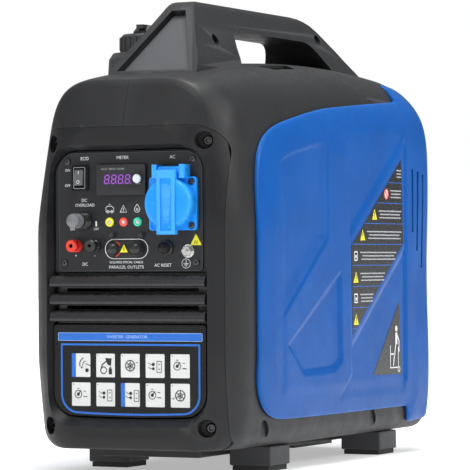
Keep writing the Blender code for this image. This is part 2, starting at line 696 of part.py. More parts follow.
def parallel_outlets():
    middle = (PARALLEL_X[0] + PARALLEL_X[1]) / 2
    pair = plate("parallel_outlet_body", rounded(0.0385, 0.0140, 0.0069), 0.0026,
            (middle, PLATE_DEPTH - GAP, 0.2138), FRONT, BLACK)
    for side, x in zip(("left", "right"), PARALLEL_X):
        cut(pair, rod(f"parallel_barrel_{side}", 0.0041, 0.020, (x, 0.0240, 0.2138), FRONT, BLACK, 14,
                CUTTERS), "UNION")
        cut(pair, rod(f"parallel_bore_{side}", 0.0022, 0.060, (x, 0.0150, 0.2138), FRONT, BLACK, 10,
                CUTTERS))
    strap = plate("parallel_outlet_cover", rounded(0.0390, 0.0135, 0.0066), 0.0030,
            (middle, PLATE_DEPTH - 0.0032, 0.2138),
                  FRONT, RUBBER, 0.0008)
    pegs = bmesh.new()
    for x in PARALLEL_X:
        made = bmesh.ops.create_cone(pegs, cap_ends=True, segments=12, radius1=0.0018, radius2=0.0018,
                depth=0.012)
        bmesh.ops.rotate(pegs, cent=(0, 0, 0), matrix=Matrix.Rotation(math.pi / 2, 3, "X"),
                verts=made["verts"])
        bmesh.ops.translate(pegs, vec=place(x, PLATE_DEPTH + 0.001, 0.2138), verts=made["verts"])
    cut(strap, add("strap_pegs", pegs, RUBBER, (0, 0, 0), UP, CUTTERS), "UNION")


def ground_terminal():
    x, z = 0.0618, 0.2114
    bolt = turned("ground_terminal", [(0, 0.0055), (0.0046, 0.0055), (0.0053, 0.0048), (0.0053, 0.0),
            (0, 0.0)],
                  (x, PLATE_DEPTH - GAP, z), FRONT, STEEL, 6)
    cut(bolt, rod("ground_stud", 0.0019, 0.0240, (x, PLATE_DEPTH + 0.0035, z), FRONT, STEEL, 12, CUTTERS),
            "UNION")


def louvre_grille():
    item = box("louvre_grille", (0.1645, 0.003, 0.0470), (0, 0.0275, 0.1672), BLACK)
    for k, z in enumerate((0.1836, 0.1666, 0.1506)):
        cut(item, box(f"louvre_bar_{k}", (0.1645, 0.020, 0.0108), (0, 0.0165, z), BLACK, 0.0046, CUTTERS),
                "UNION")
    vents = [((0.140, 0.02, 0.0030), (0, 0.0275, z)) for z in (0.1751, 0.1586)]
    cut(item, boxes("louvre_vents", vents))


control_plate()
eco_switch()
meter()
outlet()
breaker("dc_breaker", -0.0490, 0.2406, 0.0080, 0.0247, CLEAR)
breaker("ac_reset", 0.0387, 0.2144, 0.0068, 0.0105, BLACK)
lamp("lamp_yellow", -0.0213, YELLOW)
lamp("lamp_red", -0.0063, RED)
lamp("lamp_green", 0.0086, GREEN)
jack("dc_jack_red", -0.0569, RED)
jack("dc_jack_black", -0.0369, BLACK)
parallel_outlets()
ground_terminal()
louvre_grille()
plate("instruction_plate", rounded(0.1570, 0.0840, 0.004), 0.004, (0, 0.016, 0.0945), FRONT, BLACK,
        0.0008)


# ---- Fuel system ----

def fuel_system():
    x, depth = FILLER
    collar = turned("fuel_filler_collar", [(0.0235, COLLAR_TOP), (0.0365, COLLAR_TOP),
            (0.0405, COLLAR_TOP - 0.006),
                                           (0.0435, 0.356), (0.0235, 0.356)], (x, depth, 0), UP, BLACK,
                    28)
    cut(collar, CLEARANCE)
    tank = box("fuel_tank", (0.155, 0.150, 0.090), (-0.015, 0.150, 0.2870), BLACK, 0.010)
    cut(tank, rod("tank_neck", 0.0215, 0.090, (x, depth, 0.3650), UP, BLACK, 24, CUTTERS), "UNION")
    cut(tank, rod("tank_bore", 0.0190, 0.080, (x, depth, 0.3750), UP, BLACK, 24, CUTTERS))
    turned("fuel_cap", [(0, CAP_TOP - COLLAR_TOP), (0.0262, CAP_TOP - COLLAR_TOP), (0.0285, 0.0165),
            (0.0295, 0.0006),
                        (0.0175, 0.0006), (0.0175, -0.012), (0, -0.012)], (x, depth, COLLAR_TOP), UP,
                    BLACK, 28)
    lever = turned("cap_vent_lever", [(0, 0.0085), (0.0115, 0.0085), (0.0125, 0.0075), (0.0160, 0.0030),
            (0.0160, GAP), (0, GAP)],
                   (x, depth, CAP_TOP), UP, BLACK, 20)
    cut(lever, box("lever_bar", (0.008, 0.040, 0.004), (x, depth, CAP_TOP + 0.0072), BLACK, 0, CUTTERS),
            "UNION")


# ---- Engine, alternator and starter ----

def engine():
    block = box("engine_block", (0.130, 0.088, 0.115), (0, 0.290, 0.1500), ALUMINIUM, 0.008)
    fins = [(0, 0.082)]
    for k in range(5):
        low = 0.076 - 0.015 * k
        fins += [(0.046, low), (0.046, low - 0.006), (0.034, low - 0.006), (0.034, low - 0.015)]
    fins += [(0.034, -0.01), (0, -0.01)]
    cylinder = turned("cylinder_stack", fins, (0, 0.290, 0.2050), UP, ALUMINIUM, 16, CUTTERS)
    cut(block, cylinder, "UNION")
    cut(block, rod("crank_bore", SHAFT_RADIUS + GAP, 0.06, (0, 0.250, CRANK_Z), REAR, BLACK, 20, CUTTERS))
    head = box("cylinder_head_cover", (0.086, 0.080, 0.028), (0, 0.290, 0.3014), ALUMINIUM, 0.005)
    cut(head, rod("plug_bore", 0.0085, 0.06, (0.020, 0.290, 0.3340), UP, BLACK, 16, CUTTERS))
    turned("spark_plug", [(0, 0.052), (0.0030, 0.052), (0.0030, 0.044), (0.0055, 0.040), (0.0055, 0.020),
            (0.0080, 0.018),
                          (0.0080, 0.006), (0.0060, 0.004), (0.0060, 0), (0, 0)], (0.020, 0.290, 0.3045),
                    UP, CERAMIC, 16)
    turned("crankshaft", [(0, 0.0), (SHAFT_RADIUS, 0.0), (SHAFT_RADIUS, -0.118), (0, -0.118)],
           (0, 0.160, CRANK_Z), FRONT, STEEL, 20)
    turned("rotor", [(0.0085, 0.0), (0.066, 0.0), (0.066, -0.052), (0.0600, -0.052), (0.0600, -0.005),
            (0.0085, -0.005)],
           (0, 0.188, CRANK_Z), FRONT, STEEL, 28)
    turned("stator", [(0.0120, 0.0), (0.0590, 0.0), (0.0590, -0.036), (0.0120, -0.036)],
            (0, 0.2095, CRANK_Z), FRONT, COPPER, 24)
    fan = turned("cooling_fan", [(0.0085, 0.0), (0.040, 0.0), (0.058, -0.002), (0.058, -0.004),
            (0.0085, -0.004)],
                 (0, 0.1835, CRANK_Z), FRONT, BLACK, 24)
    blades = bmesh.new()
    for k in range(8):
        made = bmesh.ops.create_cube(blades, size=1.0)
        bmesh.ops.scale(blades, vec=(0.026, 0.013, 0.0025), verts=made["verts"])
        bmesh.ops.translate(blades, vec=(0.044, 0, 0), verts=made["verts"])
        bmesh.ops.rotate(blades, cent=(0, 0, 0), matrix=Matrix.Rotation(math.radians(45 * k), 3, "Y"),
                verts=made["verts"])
    cut(fan, add("fan_blades", blades, BLACK, place(0, 0.1790, CRANK_Z), UP, CUTTERS), "UNION")


def starter():
    turned("recoil_pulley", [(0.0055, 0.005), (0.044, 0.005), (0.044, 0.003), (PULLEY_RADIUS, 0.002),
            (PULLEY_RADIUS, -0.002),
                             (0.044, -0.003), (0.044, -0.005), (0.0055, -0.005)], (0, 0.1520, CRANK_Z),
                    FRONT, BLACK, 28)
    housing = turned("recoil_housing", [(0, 0.003), (0.070, 0.003), (0.070, -0.002), (0.0050, -0.002),
            (0.0050, -0.0145), (0, -0.0145)],
                     (0, 0.1430, CRANK_Z), FRONT, BLACK, 28)
    box("inverter_module", (0.150, 0.050, 0.150), (0, 0.095, 0.1080), ALUMINIUM, 0.004)
    grip = box("starter_handle", (0.014, 0.050, 0.020), (-0.1105, ROPE_DEPTH, 0.195), RUBBER, 0.004)
    cut(grip, rod("grip_stem", 0.005, 0.012, (-0.1015, ROPE_DEPTH, 0.195), LEFT, RUBBER, 12, CUTTERS),
            "UNION")
    return housing


def engine_services():
    box("carburetor", (0.028, 0.040, 0.040), (-0.0640, 0.300, 0.2600), ALUMINIUM, 0.004)
    box("air_filter_box", (0.034, 0.080, 0.060), (-0.0860, 0.350, 0.1750), BLACK, 0.005)
    muffler = box("muffler", (0.130, 0.080, 0.120), (0, 0.400, 0.2000), STEEL, 0.012)
    cut(muffler, rod("tail_tube", 0.0130, 0.050, (0, 0.4580, 0.2000), REAR, STEEL, 20, CUTTERS), "UNION")
    cut(muffler, box("muffler_chamber", (0.124, 0.074, 0.114), (0, 0.400, 0.2000), STEEL, 0.010, CUTTERS))
    cut(muffler, rod("tail_bore", 0.0100, 0.100, (0, 0.4700, 0.2000), REAR, STEEL, 20, CUTTERS))


fuel_system()
engine()
starter()
engine_services()
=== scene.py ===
"""Looks of the portable inverter generator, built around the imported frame.

Metres, +Z up, front (control panel) towards -Y. Depths are measured backwards from the front face.
"""
import math

import bmesh
import bpy
import numpy as np
from mathutils import Matrix, Vector


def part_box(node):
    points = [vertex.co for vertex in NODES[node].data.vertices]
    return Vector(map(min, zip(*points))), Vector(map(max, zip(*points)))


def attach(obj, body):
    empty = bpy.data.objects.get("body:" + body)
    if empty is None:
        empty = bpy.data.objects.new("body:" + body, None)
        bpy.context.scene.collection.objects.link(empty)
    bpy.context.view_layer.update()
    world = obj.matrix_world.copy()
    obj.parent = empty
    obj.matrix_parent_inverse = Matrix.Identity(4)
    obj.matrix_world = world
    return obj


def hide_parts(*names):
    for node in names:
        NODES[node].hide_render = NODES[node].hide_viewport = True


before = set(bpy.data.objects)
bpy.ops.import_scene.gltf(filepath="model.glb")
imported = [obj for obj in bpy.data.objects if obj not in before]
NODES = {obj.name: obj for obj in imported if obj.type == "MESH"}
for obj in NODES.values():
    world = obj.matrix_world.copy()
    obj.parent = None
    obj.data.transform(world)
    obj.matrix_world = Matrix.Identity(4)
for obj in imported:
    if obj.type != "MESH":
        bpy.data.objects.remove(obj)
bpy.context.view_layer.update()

# Body form. It follows the CAD, but here the lean of the front corners sets in smoothly and goes further.
LENGTH = 0.485
MID = 0.2375
SHELL_HALF = 0.112
BODY_BOTTOM = 0.0245
SHOULDER_Z = 0.300
DOME_POWER = 3.2
DOME_POWER_FRONT = 5.0
BASE_RADIUS = 0.018
END_RADIUS_SIDE = 0.050
REAR_RADIUS_SIDE = 0.024
REAR_RADIUS_TOP = 0.042
END_RADIUS_BASE = 0.012
FASCIA_SLOPE = 3.07            # rise of the leaning front face per unit of depth
FASCIA_STRAIGHT = 0.011        # depth where it starts to turn into the top
FASCIA_TURN = 0.0073
LEAN_REACH = 0.160             # the front corners draw in above and below this far from the front
LEAN_FADE = 1.3
LEAN_HIGH = (0.229, 2.10)      # height where the lean starts and its rate
LEAN_LOW = (0.115, 1.30)
LEAN_BLEND = 0.020             # height over which the lean sets in
CREST_HIGH = 0.403             # highest line of the body, without the handle
CREST_DEPTH = 0.320
CREST_FALL = 0.022             # drop of the crest at CREST_SPAN from its highest point
CREST_SPAN = 0.27
WALL = 0.003
GAP = 0.0003

# Front frame
FRAME_HALF = 0.0985
FRAME_TOP = 0.329
FRAME_LOW = 0.018
FRAME_DEPTH = 0.030
THROAT_HALF = 0.0815
PLATE_DEPTH = 0.015
CORNER_WELLS = ((-0.081, 0.3145), (0.081, 0.3145), (-0.084, 0.046), (0.084, 0.046))
WELL_TURN = math.radians(20)

# Side covers
COVER_FRONT = 0.056
COVER_STEP = 0.413
COVER_REAR = 0.476
COVER_EDGE = 0.0018

# Handle and filler
HANDLE_HALF = 0.050
FACET_LOW = (0.060, 0.381)
FACET_HIGH = (0.124, 0.4525)
FILLER = (-0.070, 0.190)
ROPE_DEPTH = 0.1520            # depth of the starter's pull and of the switch knob below it
STARTER_Z = 0.195
STARTER_HOLE = (0.06, 0.0806, 0.0706)

FRONT = Matrix.Rotation(math.radians(90), 4, "X")          # local +Z turned to -Y, local Y up
LEFT = Matrix.Rotation(math.radians(-90), 4, "Y")
RIGHT = Matrix.Rotation(math.radians(90), 4, "Y")
UP = Matrix.Identity(4)


def place(x, depth, z):
    return Vector((x, depth - MID, z))


# ---- Materials ----

def tree_of(name):
    mat = bpy.data.materials.new(name)
    mat.use_nodes = True
    return mat, mat.node_tree, mat.node_tree.nodes["Principled BSDF"]


def node(tree, kind, **values):
    made = tree.nodes.new(kind)
    for key, value in values.items():
        if key in made.inputs:
            made.inputs[key].default_value = value
        else:
            setattr(made, key, value)
    return made


def noise(tree, scale, detail=4.0, stretch=None):
    """A noise pattern in metres on the object, optionally stretched along the axes."""
    coords = node(tree, "ShaderNodeTexCoord")
    made = node(tree, "ShaderNodeTexNoise", Scale=scale, Detail=detail, Roughness=0.6)
    source = coords.outputs["Object"]
    if stretch:
        mapping = node(tree, "ShaderNodeMapping")
        mapping.inputs["Scale"].default_value = stretch
        tree.links.new(source, mapping.inputs["Vector"])
        source = mapping.outputs["Vector"]
    tree.links.new(source, made.inputs["Vector"])
    return made.outputs["Fac"]


def ranged(tree, source, low, high, out_low, out_high):
    made = node(tree, "ShaderNodeMapRange")
    for key, value in (("From Min", low), ("From Max", high), ("To Min", out_low), ("To Max", out_high)):
        made.inputs[key].default_value = value
    tree.links.new(source, made.inputs["Value"])
    return made.outputs["Result"]


def mixed(tree, share, first, second):
    made = tree.nodes.new("ShaderNodeMix")
    made.data_type = "RGBA"
    for slot, value in ((6, first), (7, second)):
        if isinstance(value, tuple):
            made.inputs[slot].default_value = (*value, 1.0)
        else:
            tree.links.new(value, made.inputs[slot])
    tree.links.new(share, made.inputs[0])
    return made.outputs[2]


def scaled(colour, by):
    return tuple(min(c * by, 1.0) for c in colour)


def bumped(tree, shader, layers):
    """Chain bump layers of (height output, strength, distance in metres) into the shader."""
    last = None
    for height, strength, distance in layers:
        made = node(tree, "ShaderNodeBump", Strength=strength, Distance=distance)
        tree.links.new(height, made.inputs["Height"])
        if last:
            tree.links.new(last, made.inputs["Normal"])
        last = made.outputs["Normal"]
    tree.links.new(last, shader.inputs["Normal"])


def plastic(name, colour, rough, grain=2600.0, grain_depth=0.00005, worn=None, dust=0.10, specular=0.26,
            coat=0.0):
    """Moulded plastic: spark-eroded grain, uneven gloss, paler edges and a little dust on top faces."""
    mat, tree, shader = tree_of(name)
    shader.inputs["Specular IOR Level"].default_value = specular
    shader.inputs["Coat Weight"].default_value = coat
    shader.inputs["Coat Roughness"].default_value = 0.12
    cloud = noise(tree, 16.0, 5.0)
    base = mixed(tree, ranged(tree, cloud, 0.3, 0.7, 0.0, 1.0), scaled(colour, 0.90), scaled(colour, 1.10))
    geometry = node(tree, "ShaderNodeNewGeometry")
    edge = ranged(tree, geometry.outputs["Pointiness"], 0.515, 0.60, 0.0, 0.55)
    base = mixed(tree, edge, base, worn or tuple(c + 0.06 for c in colour))
    split = node(tree, "ShaderNodeSeparateXYZ")
    tree.links.new(geometry.outputs["Normal"], split.inputs["Vector"])
    lying = ranged(tree, split.outputs["Z"], 0.45, 1.0, 0.0, dust)
    speck = ranged(tree, noise(tree, 140.0, 8.0), 0.42, 0.75, 0.0, 1.0)
    film = node(tree, "ShaderNodeMath", operation="MULTIPLY")
    tree.links.new(lying, film.inputs[0])
    tree.links.new(speck, film.inputs[1])
    base = mixed(tree, film.outputs["Value"], base, (0.55, 0.53, 0.50))
    tree.links.new(base, shader.inputs["Base Color"])
    patchy = ranged(tree, noise(tree, 55.0, 6.0), 0.3, 0.7, rough - 0.06, rough + 0.08)
    tree.links.new(patchy, shader.inputs["Roughness"])
    bumped(tree, shader, [(noise(tree, grain, 2.0), 0.55, grain_depth),
                          (noise(tree, 24.0, 2.0), 0.05, 0.0003)])
    return mat


def metal(name, colour, rough, brushed=(1.0, 1.0, 1.0), blotch=0.12):
    """Cast or turned metal with fine tool marks and slightly duller patches."""
    mat, tree, shader = tree_of(name)
    shader.inputs["Metallic"].default_value = 1.0
    dull = ranged(tree, noise(tree, 70.0, 6.0), 0.35, 0.75, 0.0, blotch * 4)
    tree.links.new(mixed(tree, dull, colour, scaled(colour, 0.62)), shader.inputs["Base Color"])
    marks = noise(tree, 900.0, 3.0, brushed)
    tree.links.new(ranged(tree, marks, 0.3, 0.7, rough - 0.07, rough + 0.12), shader.inputs["Roughness"])
    bumped(tree, shader, [(marks, 0.25, 0.00006)])
    return mat


def printed(name, colour, rough=0.45, spread=0.04):
    """Screen-printed ink: slightly uneven cover over the plastic's grain."""
    mat, tree, shader = tree_of(name)
    shade = ranged(tree, noise(tree, 500.0, 4.0), 0.3, 0.7, 0.0, 1.0)
    tree.links.new(mixed(tree, shade, scaled(colour, 1 - spread), scaled(colour, 1 + spread)),
                   shader.inputs["Base Color"])
    tree.links.new(ranged(tree, noise(tree, 300.0, 3.0), 0.3, 0.7, rough - 0.05, rough + 0.08),
                   shader.inputs["Roughness"])
    bumped(tree, shader, [(noise(tree, 2600.0, 2.0), 0.25, 0.00003)])
    return mat


def glowing(name, colour, glow, strength, rough=0.2):
    mat = plastic(name, colour, rough, grain_depth=0.00001, dust=0.0, coat=0.6)
    shader = mat.node_tree.nodes["Principled BSDF"]
    shader.inputs["Emission Color"].default_value = (*glow, 1.0)
    shader.inputs["Emission Strength"].default_value = strength
    return mat


def clear(name, colour, rough):
    """Milky, see-through rubber."""
    mat = plastic(name, colour, rough, grain_depth=0.00001, dust=0.02, coat=0.3)
    mat.node_tree.nodes["Principled BSDF"].inputs["Transmission Weight"].default_value = 0.55
    return mat


CHARCOAL = plastic("charcoal_plastic", (0.0125, 0.0128, 0.0138), 0.46, worn=(0.060, 0.061, 0.064),
                   dust=0.03,
                   specular=0.36)
FACIA = plastic("fascia_plastic", (0.0130, 0.0132, 0.0142), 0.40, worn=(0.050, 0.051, 0.054), dust=0.03)
PANEL = plastic("panel_plastic", (0.0110, 0.0115, 0.0140), 0.40, grain=3400.0, grain_depth=0.00003,
                dust=0.02)
GLOSS_BLACK = plastic("gloss_black", (0.0040, 0.0040, 0.0046), 0.24, grain_depth=0.000008, dust=0.0,
                     specular=0.14)
LOUVRE = plastic("louvre_plastic", (0.0100, 0.0100, 0.0110), 0.26, grain_depth=0.00002,
                 worn=(0.06, 0.06, 0.065), coat=0.12)
BADGE_GREY = plastic("badge_grey", (0.060, 0.062, 0.067), 0.42, grain=1800.0, dust=0.03)
ROYAL = plastic("royal_blue", (0.0008, 0.078, 0.330), 0.40, worn=(0.03, 0.20, 0.60), dust=0.01,
                specular=0.16, coat=0.04)
AZURE = plastic("azure_plastic", (0.010, 0.300, 0.930), 0.34, grain_depth=0.00002, worn=(0.10, 0.45, 1.0),
                dust=0.0)
RED = plastic("red_plastic", (0.720, 0.018, 0.012), 0.28, grain_depth=0.00002, worn=(0.9, 0.12, 0.08),
              dust=0.0)
JACK_BLACK = plastic("jack_black", (0.012, 0.012, 0.012), 0.30, grain_depth=0.00002, dust=0.0, coat=0.2)
FOOT_GREY = plastic("foot_grey", (0.040, 0.041, 0.044), 0.50, worn=(0.09, 0.09, 0.095), dust=0.04)
PAD = plastic("pad_rubber", (0.010, 0.010, 0.010), 0.75, grain=900.0, grain_depth=0.00012)
RUBBER = plastic("soft_rubber", (0.014, 0.014, 0.015), 0.62, grain=1500.0, grain_depth=0.00008)
BUTTON_WHITE = plastic("button_white", (0.78, 0.79, 0.80), 0.35, grain_depth=0.00001, dust=0.0)
CERAMIC = plastic("glazed_ceramic", (0.80, 0.79, 0.74), 0.18, grain_depth=0.00001, dust=0.03, coat=0.5)
BOOT = clear("boot_rubber", (0.30, 0.31, 0.33), 0.20)
ROCKER_GREY = plastic("rocker_grey", (0.10, 0.105, 0.11), 0.22, grain_depth=0.00001, dust=0.0, coat=0.6)
YELLOW_LENS = glowing("yellow_lens", (0.86, 0.80, 0.03), (0.8, 0.75, 0.02), 0.10)
RED_LENS = glowing("red_lens", (0.85, 0.06, 0.04), (0.8, 0.03, 0.02), 0.10)
GREEN_LENS = glowing("green_lens", (0.02, 0.62, 0.36), (0.0, 0.5, 0.28), 0.10)
LENS_CORE = glowing("lens_core", (0.62, 0.55, 0.52), (0.6, 0.5, 0.48), 0.05)
DIGIT = glowing("digit_violet", (0.20, 0.04, 0.36), (0.42, 0.09, 0.72), 0.42, 0.3)
STEEL = metal("plain_steel", (0.60, 0.60, 0.58), 0.30)
ZINC = metal("bright_zinc", (0.80, 0.80, 0.76), 0.24)
DARK_STEEL = metal("black_steel", (0.09, 0.09, 0.095), 0.36)
CAST = metal("cast_aluminium", (0.62, 0.63, 0.64), 0.45, blotch=0.2)
COPPER = metal("enamelled_copper", (0.62, 0.27, 0.11), 0.36, (1.0, 20.0, 1.0))
HEATED = metal("heated_steel", (0.42, 0.38, 0.33), 0.42, blotch=0.22)
INK_WHITE = printed("ink_white", (0.78, 0.79, 0.80))
INK_GREY = printed("ink_grey", (0.36, 0.37, 0.39))
INK_YELLOW = printed("ink_yellow", (0.82, 0.74, 0.02))
INK_BLACK = printed("ink_black", (0.012, 0.012, 0.013), 0.35)
INK_BLUE = printed("ink_blue", (0.010, 0.150, 0.640), 0.32)
CARD_WHITE = printed("card_white", (0.74, 0.75, 0.74), 0.35, 0.02)
LABEL_BLACK = printed("label_black", (0.007, 0.007, 0.009), 0.28)
# Pale grey painted along the raised control plate's edge as its highlight, not a colour of the plate.
PLATE_HIGHLIGHT_GREY = printed("painted_highlight_grey", (0.085, 0.087, 0.092), 0.35)
INK_PALE_BLUE = printed("ink_pale_blue", (0.40, 0.60, 0.95), 0.35)
SIGN_PALE = printed("sign_pale", (0.74, 0.62, 0.60), 0.35)
METER_GREY = plastic("meter_grey", (0.020, 0.020, 0.022), 0.34, grain_depth=0.00002, dust=0.0)
DISPLAY = plastic("display_glass", (0.014, 0.008, 0.022), 0.12, grain_depth=0.000005, dust=0.0, coat=0.6)
DARK_CAST = metal("dark_cast", (0.10, 0.10, 0.105), 0.5, blotch=0.15)


# ---- Mesh helpers ----

def linked(name, data):
    item = bpy.data.objects.new(name, data)
    bpy.context.scene.collection.objects.link(item)
    return item


def object_from(name, bm):
    bmesh.ops.recalc_face_normals(bm, faces=bm.faces)
    mesh = bpy.data.meshes.new(name)
    bm.to_mesh(mesh)
    bm.free()
    return linked(name, mesh)


def settle(item):
    """Turn the modified shape into the object's own mesh."""
    mesh = bpy.data.meshes.new_from_object(item.evaluated_get(bpy.context.evaluated_depsgraph_get()))
    item.modifiers.clear()
    item.data = mesh
    return item


def cut(item, *tools, operation="DIFFERENCE"):
    """Boolean with each tool in turn; the tools are used up."""
    for tool in tools:
        mod = item.modifiers.new("cut", "BOOLEAN")
        mod.operation = operation
        mod.object = tool
        mod.solver = "EXACT"
    settle(item)
    for tool in tools:
        bpy.data.objects.remove(tool, do_unlink=True)
    return item


def join(item, *tools):
    return cut(item, *tools, operation="UNION")


def keep(item, *tools):
    return cut(item, *tools, operation="INTERSECT")


def soften(item, width, segments=3, angle=35):
    mod = item.modifiers.new("bevel", "BEVEL")
    mod.width = width
    mod.segments = segments
    mod.limit_method = "ANGLE"
    mod.angle_limit = math.radians(angle)
    mod.use_clamp_overlap = True
    return settle(item)


def piece(item, mat, body="housing", stands_for=(), angle=32):
    """Finish a shape: material, shading, the body that it rides on and the nodes that it stands for."""
    item.data.materials.clear()
    item.data.materials.append(mat)
    item.data.shade_smooth()
    item.data.set_sharp_from_angle(angle=math.radians(angle))
    mod = item.modifiers.new("even_normals", "WEIGHTED_NORMAL")
    mod.keep_sharp = True
    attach(item, body)
    if stands_for:
        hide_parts(*stands_for)
    return item


def loft_into(bm, sections, closed=True, capped=True):
    rings = [[bm.verts.new(p) for p in section] for section in sections]
    count = len(rings[0])
    last = count if closed else count - 1
    for a, b in zip(rings, rings[1:]):
        for k in range(last):
            bm.faces.new((a[k], a[(k + 1) % count], b[(k + 1) % count], b[k]))
    if capped:
        bm.faces.new(rings[0])
        bm.faces.new(rings[-1])
    return rings


def loft(name, sections):
    bm = bmesh.new()
    loft_into(bm, sections)
    return object_from(name, bm)


def prism_into(bm, outline, thickness, matrix):
    """A flat outline extruded along local Z from the matrix's origin."""
    loft_into(bm, [[matrix @ Vector((x, y, h)) for x, y in outline] for h in (0.0, thickness)])


def prism(name, outline, thickness, matrix):
    bm = bmesh.new()
    prism_into(bm, outline, thickness, matrix)
    return object_from(name, bm)


def block_into(bm, size, centre, turn=UP):
    made = bmesh.ops.create_cube(bm, size=1.0)
    shape = Matrix.Translation(place(*centre)) @ turn @ Matrix.Diagonal((*size, 1.0))
    bmesh.ops.transform(bm, matrix=shape, verts=made["verts"])


def block(name, size, centre, turn=UP):
    bm = bmesh.new()
    block_into(bm, size, centre, turn)
    return object_from(name, bm)


def blocks(name, items):
    bm = bmesh.new()
    for size, centre in items:
        block_into(bm, size, centre)
    return object_from(name, bm)


def at(x, depth, z, turn=FRONT):
    return Matrix.Translation(place(x, depth, z)) @ turn


def axes_at(origin, along, up, out):
    """Frame at a point whose local x, y and z run in the given directions."""
    return Matrix.Translation(origin) @ Matrix((along, up, out)).transposed().to_4x4()


def turned_into(bm, profile, matrix, sides=32):
    """Turn a closed profile of (radius, height) about local Z; points on the axis close it."""
    rings = []
    for r, h in profile:
        if r <= 0:
            rings.append([bm.verts.new(matrix @ Vector((0, 0, h)))])
        else:
            angles = [2 * math.pi * k / sides for k in range(sides)]
            rings.append([bm.verts.new(matrix @ Vector((r * math.cos(a), r * math.sin(a),
                                                        h))) for a in angles])
    pairs = list(zip(rings, rings[1:]))
    if profile[0][0] > 0:
        pairs.append((rings[-1], rings[0]))
    for a, b in pairs:
        if len(a) == 1 and len(b) == 1:
            continue
        for k in range(sides):
            corners = [a[k % len(a)], a[(k + 1) % len(a)], b[(k + 1) % len(b)], b[k % len(b)]]
            bm.faces.new([v for j, v in enumerate(corners) if v not in corners[:j]])


def plug_into(bm, radius, high, low, matrix, sides):
    turned_into(bm, [(0, high), (radius, high), (radius, low), (0, low)], matrix, sides)


def turned(name, profile, matrix, sides=32):
    bm = bmesh.new()
    turned_into(bm, profile, matrix, sides)
    return object_from(name, bm)


def rod(name, radius, length, matrix, sides=32):
    half = length / 2
    return turned(name, [(0, half), (radius, half), (radius, -half), (0, -half)], matrix, sides)


def arc(cx, cy, radius, start, end, steps):
    turns = [math.radians(start + (end - start) * k / steps) for k in range(steps + 1)]
    return [(cx + radius * math.cos(a), cy + radius * math.sin(a)) for a in turns]


def rounded(width, height, radius, steps=8, lower_radius=None, centre=(0.0, 0.0)):
    """Outline of a rounded rectangle."""
    low = radius if lower_radius is None else lower_radius
    x, y = width / 2, height / 2
    points = arc(x - radius, y - radius, radius, 0, 90, steps)
    points += arc(radius - x, y - radius, radius, 90, 180, steps)
    points += arc(low - x, low - y, low, 180, 270, steps)
    points += arc(x - low, low - y, low, 270, 360, steps)
    return [(px + centre[0], py + centre[1]) for px, py in points]


# ---- Body form ----

def end_cut(depth, radius):
    if depth >= radius:
        return 0.0
    reach = radius - max(depth, 0.0)
    return radius - math.sqrt(max(radius ** 2 - reach ** 2, 0.0))


def fascia_drop(depth):
    """How far the leaning front face keeps the section below the crest line."""
    full = FASCIA_SLOPE * (FASCIA_STRAIGHT + FASCIA_TURN / 2)
    turn = min(max(depth - FASCIA_STRAIGHT, 0.0), FASCIA_TURN)
    return full - FASCIA_SLOPE * (min(max(depth, 0.0),
                                      FASCIA_STRAIGHT) + turn * (1 - turn / (2 * FASCIA_TURN)))


def near_front(depth):
    return 1 - min(max(depth, 0.0) / LEAN_REACH, 1.0)


def lean(depth, z):
    """Share of the width that is left where the front corners draw in."""
    high = max(z - LEAN_HIGH[0], 0.0)
    low = max(LEAN_LOW[0] - z, 0.0)
    drawn = LEAN_HIGH[1] * high ** 2 / (high + LEAN_BLEND) + LEAN_LOW[1] * low ** 2 / (low + LEAN_BLEND)
    return 1 - drawn * near_front(depth) ** LEAN_FADE


def dome_power(depth):
    return DOME_POWER + (DOME_POWER_FRONT - DOME_POWER) * near_front(depth)


def body_frame(depth, inset):
    """Half width, top and bottom of the body section at a depth, drawn in by inset."""
    front = depth - inset
    rear = LENGTH - inset - depth
    crest = CREST_HIGH - CREST_FALL * ((depth - CREST_DEPTH) / CREST_SPAN) ** 2
    half = SHELL_HALF - inset - end_cut(front, END_RADIUS_SIDE - inset) - end_cut(rear,
                                                                                  REAR_RADIUS_SIDE - inset)
    top = crest - inset - fascia_drop(front) - end_cut(rear, REAR_RADIUS_TOP - inset)
    bottom = BODY_BOTTOM + inset + end_cut(front,
                                           END_RADIUS_BASE - inset) + end_cut(rear, END_RADIUS_BASE - inset)
    return half, top, bottom


def side_x(depth, z, offset):
    """Distance of the body's side from the centre plane, grown outwards by offset."""
    half, top, bottom = body_frame(depth, -offset)
    low = bottom + BASE_RADIUS - z
    if z > SHOULDER_Z:
        power = dome_power(depth)
        half *= (1 - min((z - SHOULDER_Z) / (top - SHOULDER_Z), 1.0) ** power) ** (1 / power)
    elif low > 0:
        half += math.sqrt(max(BASE_RADIUS ** 2 - low ** 2, 0.0)) - BASE_RADIUS
    return half * lean(depth, z)


def full_section(depth, inset, dome_steps=24, side_steps=24, corner_steps=6):
    half, top, bottom = body_frame(depth, inset)
    power = 2 / dome_power(depth)
    right = []
    for k in range(dome_steps + 1):
        angle = math.radians(90 * k / dome_steps)
        right.append((half * math.sin(angle) ** power if k else 0.0,
                      SHOULDER_Z + (top - SHOULDER_Z) * max(math.cos(angle), 0.0) ** power))
    for k in range(1, side_steps):
        right.append((half, SHOULDER_Z + (bottom + BASE_RADIUS - SHOULDER_Z) * k / side_steps))
    for x, z in arc(half - BASE_RADIUS, bottom + BASE_RADIUS, BASE_RADIUS, 0, -90, corner_steps):
        right.append((x, z))
    right.append((0.0, bottom))
    right = [(x * lean(depth, z), z) for x, z in right]
    left = [(-x, z) for x, z in reversed(right[1:-1])]
    return [place(x, depth, z) for x, z in right + left]


